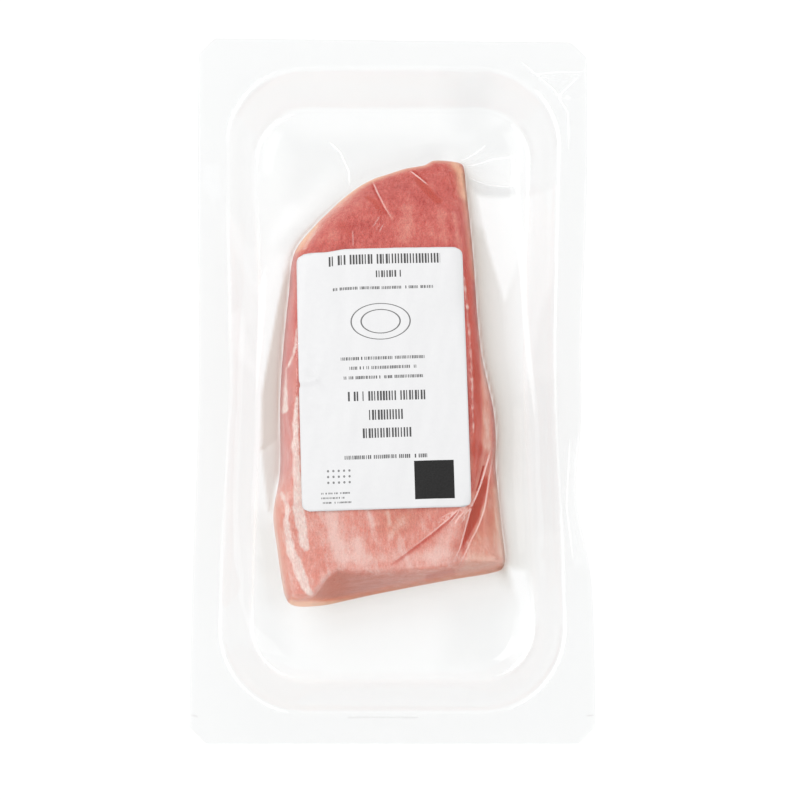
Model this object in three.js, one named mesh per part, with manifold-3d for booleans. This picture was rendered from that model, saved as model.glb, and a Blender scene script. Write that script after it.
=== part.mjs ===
// Raw pork tenderloin, vacuum packed: a thermoformed clear tray, the piece of meat on its floor,
// a clear film drawn down over both and a paper label on the film.
// Millimetres. +X is the label's right, +Y its top, +Z up. The origin is under the pack's middle.

import * as THREE from 'three';
import { mergeVertices } from 'three/addons/utils/BufferGeometryUtils.js';
import Module from 'manifold-3d';

// Tray: a flat flange round a well with sloping walls
const PACK_LENGTH = 300;
const PACK_WIDTH = 167;
const FLANGE_HEIGHT = 22;
const CORNER_CUT = 7;
const FAR_EDGE_SKEW = 2;
const WELL_LENGTH = 276;
const WELL_WIDTH = 143;
const WELL_CORNER = 36;
const FLOOR_LENGTH = 246;
const FLOOR_WIDTH = 119;
const FLOOR_CORNER = 22;
const WALL_SWING = 0.6;
const TRAY_SHEET = 0.8;
const FILM_SHEET = 0.5;
const LABEL_SHEET = 0.5;
const FILM_FOOT = 6.5;
const GAP = 0.3;

// The long edges are drawn in by the vacuum: how far, where and over what half length
const EDGE_PULLS = [
  { side: 1, depth: 4, at: 5, spread: 60 },
  { side: 1, depth: 5, at: -48, spread: 24 },
  { side: -1, depth: 2, at: -5, spread: 70 },
];
const WALL_PULL = { depth: 3, at: 10, spread: 62 };

// Meat: its widest outline seen from above, anticlockwise from the tip
const MEAT_OUTLINE = [
  [30.5, 97], [17, 98], [-7.5, 90.5], [-20.5, 81.5], [-33, 69.5], [-42, 57], [-44.5, 38],
  [-47.5, 5], [-47.7, -38], [-50.2, -55], [-46.8, -80], [-43.5, -92], [-30, -93], [-7, -88.3],
  [24.5, -82], [42, -79], [46.8, -74], [44, -38], [41.3, -6], [35, 50.6], [32, 84],
];
const MEAT_TOP = 38.5;
const MEAT_WIDEST = 9;
const SIDE_INSET = 1;
const FOOT_INSET = 3.5;
const TIP_FALL = { depth: 19, from: 46, to: 104 };
const BUTT_FALL = { depth: 4, from: -40, to: -80 };
const CROWN_FALL = 1.5;
const CROWN_HALF_WIDTH = 40;
const EDGE_WIDTHS = { left: 9, right: 11, tip: 17 };
const EDGE_ROUNDNESS = 2.3;
const CUT_FACE_ROUNDNESS = 1.5;
// How far the cut end's sloping face reaches in, at places from left to right
const CUT_FACE_WIDTHS = [[-44, 4], [-33, 5.5], [-24, 12.5], [-12, 9.5], [0, 7], [14, 5.5], [46, 4]];

// Meat: the seam between its main muscle and the strip along its right side
const SEAM = [[42, -26], [37, -44], [33, -57], [29.5, -69], [26, -78]];
const SEAM_DEPTH = 3.2;
const SEAM_HALF_WIDTH = 4.5;
const SEAM_OPENS = { from: -20, to: -34 };
const STRIP_DROP = 3;

// Label
const LABEL = { width: 69.5, length: 108, corner: 3, x: -3.9, y: -0.8, turn: 1.74 };

// Mesh: lines across the long and the short edges, and rings over the meat
const LONG_EDGE_STEPS = 34;
const SHORT_EDGE_STEPS = 14;
const WALL_STEPS = 4;
const MEAT_RINGS = [0, 0.7, 2.2, 4.5, 7.5, 11, 16, 22, 29];
const INMOST_SHARE = 0.86;
const FLAT_RINGS = 4;
const OUTLINE_STEPS = 420;
const AXIS_ENDS = [new THREE.Vector2(-2, -50), new THREE.Vector2(9, 64)];
const TANGENT_REACH = 4;
const PARALLEL = 1e-9;
const LABEL_CORNER_STEPS = 6;

function smoothstep(from, to, value) {
  const t = THREE.MathUtils.clamp((value - from) / (to - from), 0, 1);
  return t * t * (3 - 2 * t);
}

function bell(value, centre, spread) {
  return Math.exp(-(((value - centre) / spread) ** 2));
}

// How far a long edge of the flange is pulled towards the meat at y
function edgePull(side, y) {
  return EDGE_PULLS.filter((pull) => pull.side === side)
    .reduce((sum, pull) => sum + pull.depth * bell(y, pull.at, pull.spread), 0);
}

function flangeOutline() {
  const halfWidth = PACK_WIDTH / 2;
  const halfLength = PACK_LENGTH / 2;
  const points = [];
  const straight = (start, end, steps) => {
    for (let step = 0; step <= steps; step += 1) {
      const point = new THREE.Vector2().lerpVectors(start, end, step / steps);
      const side = Math.sign(point.x);
      if (Math.abs(point.x) === halfWidth) point.x -= side * edgePull(side, point.y);
      points.push(point);
    }
  };
  const inX = halfWidth - CORNER_CUT;
  const inY = halfLength - CORNER_CUT;
  const skewAt = (x) => FAR_EDGE_SKEW * (0.5 + x / PACK_WIDTH);
  const far = (x) => new THREE.Vector2(x, halfLength - skewAt(x));
  straight(new THREE.Vector2(halfWidth, -inY), new THREE.Vector2(halfWidth, inY), LONG_EDGE_STEPS);
  straight(far(inX), far(-inX), SHORT_EDGE_STEPS);
  straight(new THREE.Vector2(-halfWidth, inY), new THREE.Vector2(-halfWidth, -inY), LONG_EDGE_STEPS);
  straight(new THREE.Vector2(-inX, -halfLength), new THREE.Vector2(inX, -halfLength), SHORT_EDGE_STEPS);
  return points;
}

// A closed rectangle with round corners, its long sides pinched in at the middle
function pinchedRectangle(width, length, corner) {
  const shape = new THREE.Shape();
  const right = width / 2;
  const top = length / 2;
  shape.moveTo(right, -top + corner);
  shape.lineTo(right, top - corner);
  shape.absarc(right - corner, top - corner, corner, 0, Math.PI / 2);
  shape.absarc(corner - right, top - corner, corner, Math.PI / 2, Math.PI);
  shape.absarc(corner - right, corner - top, corner, Math.PI, 1.5 * Math.PI);
  shape.absarc(right - corner, corner - top, corner, 1.5 * Math.PI, 2 * Math.PI);
  return shape.getSpacedPoints(OUTLINE_STEPS).map((point) => {
    const pinch = WALL_PULL.depth * bell(point.y, WALL_PULL.at, WALL_PULL.spread) * (point.x / right);
    return new THREE.Vector2(point.x - pinch, point.y);
  });
}

function meatOutline() {
  const anchors = MEAT_OUTLINE.map(([x, y]) => new THREE.Vector3(x, y, 0));
  const curve = new THREE.CatmullRomCurve3(anchors, true, 'centripetal');
  return curve.getSpacedPoints(OUTLINE_STEPS).slice(0, OUTLINE_STEPS)
    .map((point) => new THREE.Vector2(point.x, point.y));
}

const outline = meatOutline();

function nearestOnOutline(x, y) {
  let best = 0;
  let bestSquare = Infinity;
  outline.forEach((point, index) => {
    const square = (point.x - x) ** 2 + (point.y - y) ** 2;
    if (square < bestSquare) {
      bestSquare = square;
      best = index;
    }
  });
  return { distance: Math.sqrt(bestSquare), index: best };
}

function outwardNormal(index) {
  const before = outline[(index + OUTLINE_STEPS - TANGENT_REACH) % OUTLINE_STEPS];
  const after = outline[(index + TANGENT_REACH) % OUTLINE_STEPS];
  return new THREE.Vector2(after.y - before.y, before.x - after.x).normalize();
}

// Distance to the seam, and the same with a sign: plus on the strip's side
function seamPlace(x, y) {
  const point = new THREE.Vector3(x, y, 0);
  const nearest = new THREE.Vector3();
  let place = { distance: Infinity, toStrip: 0 };
  for (let leg = 0; leg < SEAM.length - 1; leg += 1) {
    const start = new THREE.Vector3(...SEAM[leg], 0);
    const end = new THREE.Vector3(...SEAM[leg + 1], 0);
    new THREE.Line3(start, end).closestPointToPoint(point, true, nearest);
    const distance = nearest.distanceTo(point);
    if (distance < place.distance) {
      const run = new THREE.Vector3().subVectors(end, start);
      const across = run.cross(new THREE.Vector3().subVectors(point, start));
      place = { distance, toStrip: across.z > 0 ? distance : -distance };
    }
  }
  return place;
}

function cutFaceWidth(x) {
  const [first, ...rest] = CUT_FACE_WIDTHS;
  let [startX, start] = first;
  if (x <= startX) return start;
  for (const [endX, end] of rest) {
    if (x <= endX) return THREE.MathUtils.mapLinear(x, startX, endX, start, end);
    [startX, start] = [endX, end];
  }
  return start;
}

// Height of the meat's upper surface
function meatTop(x, y) {
  const { distance, index } = nearestOnOutline(x, y);
  const normal = outwardNormal(index);
  const shares = {
    left: Math.max(0, -normal.x) ** 2,
    right: Math.max(0, normal.x) ** 2,
    tip: Math.max(0, normal.y) ** 2,
    butt: Math.max(0, -normal.y) ** 2,
  };
  const widths = { ...EDGE_WIDTHS, butt: cutFaceWidth(x) };
  const width = Object.keys(shares).reduce((sum, side) => sum + shares[side] * widths[side], 0);
  const t = THREE.MathUtils.clamp(distance / width, 0, 1);
  const round = (1 - (1 - t) ** EDGE_ROUNDNESS) ** (1 / EDGE_ROUNDNESS);
  const cutFace = 1 - (1 - t) ** CUT_FACE_ROUNDNESS;
  const rise = THREE.MathUtils.lerp(round, cutFace, shares.butt);
  const seam = seamPlace(x, y);
  const open = smoothstep(SEAM_OPENS.from, SEAM_OPENS.to, y);
  const crown = MEAT_TOP
    - TIP_FALL.depth * smoothstep(TIP_FALL.from, TIP_FALL.to, y)
    - BUTT_FALL.depth * smoothstep(BUTT_FALL.from, BUTT_FALL.to, y)
    - CROWN_FALL * (x / CROWN_HALF_WIDTH) ** 2
    - STRIP_DROP * open * smoothstep(-SEAM_HALF_WIDTH, SEAM_HALF_WIDTH, seam.toStrip);
  const dip = SEAM_DEPTH * open * bell(seam.distance, 0, SEAM_HALF_WIDTH) * rise;
  return MEAT_WIDEST + (crown - MEAT_WIDEST) * rise - dip;
}

// A spoke runs from the meat's middle line out to each point of the flange's edge
function makeSpokes() {
  const [near, far] = AXIS_ENDS;
  return flangeOutline().map((end) => {
    const share = THREE.MathUtils.clamp((end.y - near.y) / (far.y - near.y), 0, 1);
    const start = new THREE.Vector2().lerpVectors(near, far, share);
    return { start, end, direction: new THREE.Vector2().subVectors(end, start).normalize() };
  });
}

const spokes = makeSpokes();

// The distance along each spoke to a closed curve
function reachOf(curve) {
  return spokes.map(({ start, direction }) => {
    let reach = 0;
    curve.forEach((point, index) => {
      const next = curve[(index + 1) % curve.length];
      const side = new THREE.Vector2().subVectors(next, point);
      const away = new THREE.Vector2().subVectors(point, start);
      const turn = direction.cross(side);
      if (Math.abs(turn) < PARALLEL) return;
      const along = away.cross(side) / turn;
      const share = away.cross(direction) / turn;
      if (along > 0 && share >= 0 && share <= 1) reach = Math.max(reach, along);
    });
    return reach;
  });
}

function ringAt(reach, height) {
  return spokes.map(({ start, direction }, index) => {
    const x = start.x + direction.x * reach[index];
    const y = start.y + direction.y * reach[index];
    return new THREE.Vector3(x, y, typeof height === 'function' ? height(x, y, index) : height);
  });
}

function mixReach(a, b, share) {
  return a.map((value, index) => THREE.MathUtils.lerp(value, b[index], share));
}

// Triangles that fill the loop of any ring, facing up: rungs between its right and its left side
function fillLoop() {
  const count = spokes.length;
  const start = count - 1 - SHORT_EDGE_STEPS / 2;
  const faces = [];
  for (let rung = 0; rung < count / 2; rung += 1) {
    const right = (start + rung) % count;
    const left = (start + count - rung) % count;
    const nextRight = (right + 1) % count;
    const nextLeft = (left + count - 1) % count;
    if (rung > 0) faces.push([left, right, nextRight]);
    if (rung < count / 2 - 1) faces.push([left, nextRight, nextLeft]);
  }
  return faces;
}

const loopFill = fillLoop();

// A closed solid from rings that run from the top's middle out to ring number turn, and back below.
// Both ways each quad is split along the same line, so that sheets laid on each other stay parallel.
function stackRings(rings, turn) {
  const count = spokes.length;
  const last = (rings.length - 1) * count;
  const faces = loopFill.map((face) => [...face]);
  for (let ring = 0; ring < rings.length - 1; ring += 1) {
    for (let index = 0; index < count; index += 1) {
      const next = (index + 1) % count;
      const a = ring * count;
      const b = a + count;
      if (ring < turn) {
        faces.push([a + index, b + index, b + next], [a + index, b + next, a + next]);
      } else {
        faces.push([a + index, b + index, a + next], [a + next, b + index, b + next]);
      }
    }
  }
  loopFill.forEach(([a, b, c]) => faces.push([last + a, last + c, last + b]));
  const geometry = new THREE.BufferGeometry();
  geometry.setAttribute('position', new THREE.Float32BufferAttribute(rings.flat().flatMap((p) => [...p]), 3));
  geometry.setIndex(faces.flat());
  return geometry;
}

// The same rings, moved along the surface's own normals, or straight up on the flat middle
function offsetRings(rings, distance, flatRings = 0) {
  const below = rings[rings.length - 1].map((point) => new THREE.Vector3(point.x, point.y, point.z - 1));
  const sheet = stackRings([...rings, below], rings.length);
  sheet.computeVertexNormals();
  const normal = sheet.getAttribute('normal');
  return rings.map((ring, row) => ring.map((point, index) => {
    const at = row * ring.length + index;
    const step = new THREE.Vector3(normal.getX(at), normal.getY(at), normal.getZ(at));
    if (row < flatRings) step.set(0, 0, 1);
    return point.clone().addScaledVector(step, distance);
  }));
}

const flangeReach = spokes.map(({ start, end }) => start.distanceTo(end));
const rimReach = reachOf(pinchedRectangle(WELL_WIDTH, WELL_LENGTH, WELL_CORNER));
const floorReach = reachOf(pinchedRectangle(FLOOR_WIDTH, FLOOR_LENGTH, FLOOR_CORNER));
const meatReach = reachOf(outline);

// Wall of the well: round at the rim and at the floor
function wallHeight(share) {
  const swing = 0.5 + 0.5 * Math.cos(Math.PI * share);
  return TRAY_SHEET + (FLANGE_HEIGHT - TRAY_SHEET) * THREE.MathUtils.lerp(1 - share, swing, WALL_SWING);
}

// Inner face of the tray, from the flange's edge to the floor
function trayFace() {
  const rings = [ringAt(flangeReach, FLANGE_HEIGHT)];
  for (let step = 0; step <= WALL_STEPS; step += 1) {
    const share = step / WALL_STEPS;
    rings.push(ringAt(mixReach(rimReach, floorReach, share), wallHeight(share)));
  }
  return rings;
}

function makeTray() {
  const face = trayFace().reverse();
  const under = offsetRings(face, -TRAY_SHEET);
  under[0].forEach((point) => { point.z = 0; });
  return stackRings([...face, ...under.reverse()], face.length - 1);
}

// Rings over the meat's top: a set distance in from its edge, then even shares of the way inwards
function meatTopRings() {
  const inmost = MEAT_RINGS[MEAT_RINGS.length - 1];
  return MEAT_RINGS.map((inset) => {
    const evenly = smoothstep(0, inmost, inset);
    const reach = meatReach.map((full) => {
      const share = (INMOST_SHARE * full * inset) / inmost;
      return full - THREE.MathUtils.lerp(inset, share, evenly);
    });
    return ringAt(reach, inset === 0 ? MEAT_WIDEST : meatTop);
  }).reverse();
}

function makeMeat() {
  const top = meatTopRings();
  const shrunk = (inset) => meatReach.map((full) => full - inset);
  const rest = TRAY_SHEET + GAP;
  const below = [ringAt(shrunk(SIDE_INSET), MEAT_WIDEST / 2), ringAt(shrunk(FOOT_INSET), rest)];
  return stackRings([...top, ...below], top.length - 1);
}

// The film lies on the flange, the walls and the floor, and rises over the meat as a tent
function makeFilm() {
  const rest = TRAY_SHEET + GAP;
  const overMeat = offsetRings(meatTopRings(), GAP, FLAT_RINGS);
  const onTray = offsetRings(trayFace().reverse(), GAP).reverse();
  onTray[0] = ringAt(flangeReach, FLANGE_HEIGHT + GAP);
  onTray[onTray.length - 1].forEach((point) => { point.z = rest + GAP; });
  const foot = ringAt(meatReach.map((reach, index) => {
    const room = floorReach[index] - reach;
    return reach + Math.min(FILM_FOOT, room / 2);
  }), rest);
  const lower = [...overMeat, foot, ...onTray.reverse()];
  const upper = offsetRings(lower, FILM_SHEET, FLAT_RINGS);
  upper[upper.length - 1].forEach((point, index) => {
    point.copy(lower[lower.length - 1][index]);
    point.z += FILM_SHEET;
  });
  return { solid: stackRings([...upper, ...lower.reverse()], upper.length - 1), upper };
}

function labelOutline() {
  const shape = new THREE.Shape();
  const right = LABEL.width / 2;
  const top = LABEL.length / 2;
  shape.moveTo(right, LABEL.corner - top);
  shape.absarc(right - LABEL.corner, top - LABEL.corner, LABEL.corner, 0, Math.PI / 2);
  shape.absarc(LABEL.corner - right, top - LABEL.corner, LABEL.corner, Math.PI / 2, Math.PI);
  shape.absarc(LABEL.corner - right, LABEL.corner - top, LABEL.corner, Math.PI, 1.5 * Math.PI);
  shape.absarc(right - LABEL.corner, LABEL.corner - top, LABEL.corner, 1.5 * Math.PI, 2 * Math.PI);
  return shape;
}

function toManifold(wasm, geometry) {
  const bare = geometry.clone();
  bare.deleteAttribute('normal');
  bare.deleteAttribute('uv');
  const merged = mergeVertices(bare);
  return new wasm.Manifold(new wasm.Mesh({
    numProp: 3,
    vertProperties: new Float32Array(merged.getAttribute('position').array),
    triVerts: new Uint32Array(merged.getIndex().array),
  }));
}

function fromManifold(solid) {
  const mesh = solid.getMesh();
  const geometry = new THREE.BufferGeometry();
  geometry.setAttribute('position', new THREE.BufferAttribute(new Float32Array(mesh.vertProperties), 3));
  geometry.setIndex([...mesh.triVerts]);
  return geometry;
}

// The label is a sheet that follows the film's upper face, trimmed to its outline
function makeLabel(wasm, film) {
  const inner = film.upper.slice(0, MEAT_RINGS.length - 1);
  const raise = (height) => inner.map((ring) => ring.map((p) => new THREE.Vector3(p.x, p.y, p.z + height)));
  const rings = [...raise(GAP + LABEL_SHEET), ...raise(GAP).reverse()];
  const sheet = stackRings(rings, inner.length - 1);
  const block = new THREE.ExtrudeGeometry(labelOutline(), {
    depth: 2 * MEAT_TOP,
    bevelEnabled: false,
    curveSegments: LABEL_CORNER_STEPS,
  });
  block.rotateZ(THREE.MathUtils.degToRad(LABEL.turn));
  block.translate(LABEL.x, LABEL.y, 0);
  return fromManifold(toManifold(wasm, sheet).intersect(toManifold(wasm, block)));
}

const clear = { roughness: 0.08, metalness: 0, transparent: true };
const FINISHES = {
  tray: new THREE.MeshStandardMaterial({ color: 0xf4f6f6, opacity: 0.22, ...clear }),
  film: new THREE.MeshStandardMaterial({ color: 0xf8f9f9, opacity: 0.18, ...clear }),
  meat: new THREE.MeshStandardMaterial({ color: 0xd08a7c, roughness: 0.45, metalness: 0 }),
  label: new THREE.MeshStandardMaterial({ color: 0xf1f1f1, roughness: 0.6, metalness: 0 }),
};

const wasm = await Module();
wasm.setup();

const film = makeFilm();
const solids = { tray: makeTray(), meat: makeMeat(), film: film.solid, label: makeLabel(wasm, film) };
const pack = new THREE.Group();
Object.entries(solids).forEach(([name, geometry]) => {
  const mesh = new THREE.Mesh(geometry, FINISHES[name]);
  mesh.name = name;
  pack.add(mesh);
});

export default pack;
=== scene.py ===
import itertools
import math

import bmesh
import bpy
import numpy as np
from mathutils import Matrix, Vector


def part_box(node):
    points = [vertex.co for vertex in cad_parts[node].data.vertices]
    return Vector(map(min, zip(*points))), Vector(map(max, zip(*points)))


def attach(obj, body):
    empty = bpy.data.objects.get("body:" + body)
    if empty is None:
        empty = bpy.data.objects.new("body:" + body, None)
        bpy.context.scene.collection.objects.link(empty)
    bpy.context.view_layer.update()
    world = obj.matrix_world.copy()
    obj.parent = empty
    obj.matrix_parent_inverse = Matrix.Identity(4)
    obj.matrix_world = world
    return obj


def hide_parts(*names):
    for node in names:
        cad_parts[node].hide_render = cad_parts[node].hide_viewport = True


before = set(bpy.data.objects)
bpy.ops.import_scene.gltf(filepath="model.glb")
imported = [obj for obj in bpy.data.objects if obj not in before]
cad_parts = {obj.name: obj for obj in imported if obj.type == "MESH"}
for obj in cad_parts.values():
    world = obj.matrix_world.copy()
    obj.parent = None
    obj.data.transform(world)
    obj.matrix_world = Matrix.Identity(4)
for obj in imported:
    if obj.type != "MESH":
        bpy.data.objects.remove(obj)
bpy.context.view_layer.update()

MM = 0.001
TRAY_LOW, TRAY_HIGH = (np.array(corner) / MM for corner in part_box("tray"))
MEAT_LOW, MEAT_HIGH = (np.array(corner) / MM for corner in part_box("meat"))

# Pack: the flange, and the well's rim and floor as rectangles with round corners
HALF_WIDTH = (TRAY_HIGH[0] - TRAY_LOW[0]) / 2
HALF_LENGTH = (TRAY_HIGH[1] - TRAY_LOW[1]) / 2
FLANGE_TOP = TRAY_HIGH[2]
FLOOR_TOP = 0.8
CORNER_CUT = 7.0
FAR_EDGE_SKEW = 2.0
# Flat cuts at each of the flange's corners: the way each one faces, in degrees, and how far back it lies
CORNER_CUTS = ((45, CORNER_CUT * math.cos(math.radians(45))), (24, 0.434 * CORNER_CUT),
               (66, 0.434 * CORNER_CUT))
RIM = {"half_width": 71.5, "half_length": 138.0, "corner": 36.0}
FLOOR = {"half_width": 59.5, "half_length": 123.0, "corner": 22.0}
EDGE_PULLS = {"right": [(4.0, 5.0, 60.0), (5.0, -48.0, 24.0)], "left": [(2.0, -5.0, 70.0)]}
WALL_PULL = (3.0, 10.0, 62.0)
WALL_ROUNDNESS = 0.6

# Meat: the anchors of its widest outline, anticlockwise from the tip, and its upper side
MEAT_OUTLINE = [
    (30.9, 95.0), (30.2, 97.0), (28.2, 98.0), (17.6, 98.8), (14.0, 96.9), (6, 95.4), (-2.2, 92.7),
    (-8.2, 90.6), (-15.4, 86.4), (-21.3, 81.6), (-27.6, 75.4), (-33.2, 69.4), (-42, 57), (-44.5, 38),
    (-46.6, 15), (-47.7, -6), (-47.7, -38), (-50.2, -55), (-48.4, -70), (-46.6, -82), (-44.4, -90.6),
    (-41.6, -92.8), (-30, -92.8), (-19, -90.6), (-7, -88.0), (24.5, -82), (42, -79), (46.2, -77.4),
    (47.3, -74.4), (46.0, -60), (44.6, -46), (43.6, -34), (43.8, -22), (42.7, -10), (40.4, 1),
    (38.1, 12), (36.3, 29), (35.0, 50), (33.2, 72), (31.9, 85)]
OUTLINE_STEPS = 1280
TANGENT_SPAN = 6
MEAT_TOP = MEAT_HIGH[2]
MEAT_WIDEST = 9.0
MEAT_REST = MEAT_LOW[2]
EDGE_WIDTHS = {"left": 9.0, "right": 11.0, "tip": 17.0}
EDGE_ROUNDNESS = 2.3
# How far the crown lies below the top: everywhere, at the tip, at the cut end, 40 mm to a side and on
# the strip right of the seam
CROWN_MARGIN = 0.4
TIP_FALL = 19.0
END_FALL = 4.0
SIDE_FALL = 1.5
STRIP_FALL = 3.0
# How far the cut end's sloping face reaches in, at places from left to right
CUT_FACE_WIDTHS = [
    (-44, 3.5), (-36, 3.5), (-33, 4.2), (-29.5, 8.0), (-26.5, 11.2), (-22, 13.0), (-13, 9.8), (-1, 7.3),
    (13, 5.1), (23, 4.5), (27, 5.8), (34, 5.2), (44, 2.8)]
CUT_FACE_ROUNDNESS = 1.5
SEAM = [(42, -26), (37, -44), (33, -57), (29.5, -69), (26, -78)]
SEAM_DEPTH = 2.2
SEAM_HALF_WIDTH = 3.0
LOBE_GROOVE = [(-29.5, 71.0), (-31.6, 66.0), (-34.0, 60.7), (-36.6, 52.0)]
GROOVE_DEPTH = 1.2
GROOVE_HALF_WIDTH = 1.3
AXIS_ENDS = ((-2.0, -50.0), (9.0, 64.0))

# Sheets
TRAY_SHEET = 0.4
FILM_SHEET = 0.1
LABEL_SHEET = 0.14
LABEL = {"width": 69.5, "length": 108.0, "corner": 3.0, "x": -3.9, "y": -0.8, "turn": 1.74}

FILM_STEP = 1.15
TRAY_STEP = 1.6


# Shape helpers

# A distance that counts as nowhere near a line, and a brightness below which a line counts as ended
FAR_OFF = 9.0
FAINTEST = 0.02
# A height that lies below everything, where there is no meat
BELOW_ALL = -10.0


def smoothstep(start, end, value):
    """From 0 at start to 1 at end, eased at both; start may be the greater one."""
    t = np.clip((value - start) / (end - start), 0, 1)
    return t * t * (3 - 2 * t)


def bell(value, centre, spread):
    """1 at the centre, falling to nothing within a few spreads of it."""
    return np.exp(-((value - centre) / spread) ** 2)


def blend(a, b, share):
    """From a to b, as far as share says."""
    return a + (b - a) * share


def ripples(x, y, size, seed, stretch=1.0, turn=0.0, count=9):
    """Smooth random relief from -1 to 1: plane waves about size long, drawn out along a direction."""
    rng = np.random.default_rng(seed)
    c, s = math.cos(turn), math.sin(turn)
    crosswise, lengthwise = c * x + s * y, (c * y - s * x) / stretch
    total = np.zeros_like(x, dtype=float)
    for _ in range(count):
        heading = rng.uniform(0, math.pi)
        pitch = 2 * math.pi / (size * rng.uniform(0.7, 1.6))
        phase = rng.uniform(0, 2 * math.pi)
        total += np.sin(pitch * (math.cos(heading) * crosswise + math.sin(heading) * lengthwise) + phase)
    return total / math.sqrt(count * 2)


def path_place(x, y, points):
    """Distance to a path of straight legs, the side of it and the share of its length passed."""
    points = np.array(points, float)
    best = np.full(np.shape(x), np.inf)
    side = np.zeros(np.shape(x))
    passed = np.zeros(np.shape(x))
    runs = np.hypot(*(points[1:] - points[:-1]).T)
    starts = np.concatenate([[0], np.cumsum(runs)])
    for number, (a, b) in enumerate(zip(points[:-1], points[1:])):
        run = b - a
        share = np.clip(((x - a[0]) * run[0] + (y - a[1]) * run[1]) / (run @ run), 0, 1)
        away_x, away_y = x - a[0] - share * run[0], y - a[1] - share * run[1]
        distance = np.hypot(away_x, away_y)
        nearer = distance < best
        best = np.where(nearer, distance, best)
        side = np.where(nearer, np.sign(run[0] * (y - a[1]) - run[1] * (x - a[0])), side)
        passed = np.where(nearer, (starts[number] + share * runs[number]) / starts[-1], passed)
    return best, side, passed


def patch(x, y, corners, soft):
    """From 0 outside a closed shape to 1 inside it, over a soft edge."""
    points = np.array(list(corners) + [corners[0]], float)
    off, _, _ = path_place(x, y, points)
    inside = np.zeros(np.shape(x), bool)
    for (ax, ay), (bx, by) in zip(points[:-1], points[1:]):
        crosses = (ay > y) != (by > y)
        inside ^= crosses & (x < ax + (y - ay) * (bx - ax) / (by - ay + 1e-9))
    return smoothstep(-soft, soft, np.where(inside, off, -off))


def nearest_line(x, y, lines):
    """Signed distance to the nearest of several lines, with its brightness and shade, faded at its ends."""
    nearest = np.full(np.shape(x), FAR_OFF)
    bright, shade = np.zeros(np.shape(x)), np.zeros(np.shape(x))
    for path, brightness, shading in lines:
        off, side, passed = path_place(x, y, path)
        nearer = off < np.abs(nearest)
        fade = smoothstep(0, 0.15, passed) * smoothstep(1, 0.8, passed)
        nearest = np.where(nearer, off * side, nearest)
        bright = np.where(nearer, along(brightness, passed) * fade, bright)
        shade = np.where(nearer, along(shading, passed) * fade, shade)
    return nearest, bright, shade


def union(x, y, shapes):
    """The strongest of several soft shapes at each place."""
    return np.max([strength * patch(x, y, corners, soft) for corners, soft, strength in shapes], axis=0)


def soft_streaks(x, y, streaks):
    """The sum of soft lines, each with its half width and strength."""
    total = np.zeros_like(x)
    for path, half_width, strength in streaks:
        off, _, _ = path_place(x, y, path)
        total += strength * bell(off, 0, half_width)
    return total


def along(values, passed):
    """A single value, or evenly spaced values read at a share of the way."""
    values = np.ravel(values)
    return np.interp(passed, np.linspace(0, 1, len(values)), values)


def closed_curve(anchors, steps):
    """A smooth closed curve through the anchors, with evenly spaced points."""
    anchors = np.array(anchors, float)
    dense = []
    for number in range(len(anchors)):
        p = [anchors[(number + k) % len(anchors)] for k in (-1, 0, 1, 2)]
        knots = np.cumsum([0] + [math.sqrt(np.hypot(*(p[k + 1] - p[k]))) for k in range(3)])
        for t in np.linspace(knots[1], knots[2], 40, endpoint=False):
            a = [blend(p[k], p[k + 1], (t - knots[k]) / (knots[k + 1] - knots[k])) for k in range(3)]
            b = [blend(a[k], a[k + 1], (t - knots[k]) / (knots[k + 2] - knots[k])) for k in range(2)]
            dense.append(blend(b[0], b[1], (t - knots[1]) / (knots[2] - knots[1])))
    dense = np.array(dense + dense[:1])
    length = np.concatenate([[0], np.cumsum(np.hypot(*(dense[1:] - dense[:-1]).T))])
    at = np.linspace(0, length[-1], steps, endpoint=False)
    return np.stack([np.interp(at, length, dense[:, axis]) for axis in (0, 1)], axis=1)


# Tray and flange

def edge_x(side, y):
    """The flange's long edge at y, drawn in by the vacuum."""
    pull = sum(depth * bell(y, at, spread) for depth, at, spread in EDGE_PULLS[side])
    return HALF_WIDTH - pull if side == "right" else pull - HALF_WIDTH


def rounded_distance(x, y, rect):
    """Distance outside a rectangle with round corners whose long sides are pinched; minus inside."""
    depth, at, spread = WALL_PULL
    pinched = 1 - depth * bell(y, at, spread) / rect["half_width"]
    qx = np.abs(x) / pinched - rect["half_width"] + rect["corner"]
    qy = np.abs(y) - rect["half_length"] + rect["corner"]
    beyond = np.hypot(np.maximum(qx, 0), np.maximum(qy, 0))
    return beyond + np.minimum(np.maximum(qx, qy), 0) - rect["corner"]


def wall_share(x, y):
    """From 0 at the rim of the well to 1 at the floor."""
    below_rim = np.maximum(-rounded_distance(x, y, RIM), 0)
    off_floor = np.maximum(rounded_distance(x, y, FLOOR), 0)
    return below_rim / (below_rim + off_floor + 1e-9)


def tray_height(x, y):
    """Height of the tray's upper side: flat flange and floor, and a wall that swings between them."""
    share = wall_share(x, y)
    swing = 0.5 + 0.5 * np.cos(math.pi * share)
    return FLOOR_TOP + (FLANGE_TOP - FLOOR_TOP) * blend(1 - share, swing, WALL_ROUNDNESS)


def pack_grid(step):
    """Places that fill the flange's outline, edge to edge."""
    columns = int(2 * HALF_WIDTH / step)
    rows = int(2 * HALF_LENGTH / step)
    u, v = np.meshgrid(np.linspace(0, 1, columns), np.linspace(0, 1, rows), indexing="ij")
    y = blend(-HALF_LENGTH, HALF_LENGTH, v)
    x = blend(edge_x("left", y), edge_x("right", y), u)
    y = y - FAR_EDGE_SKEW * (0.5 + x / (2 * HALF_WIDTH)) * smoothstep(0, HALF_LENGTH, y)
    return x, y


# Meat

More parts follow.
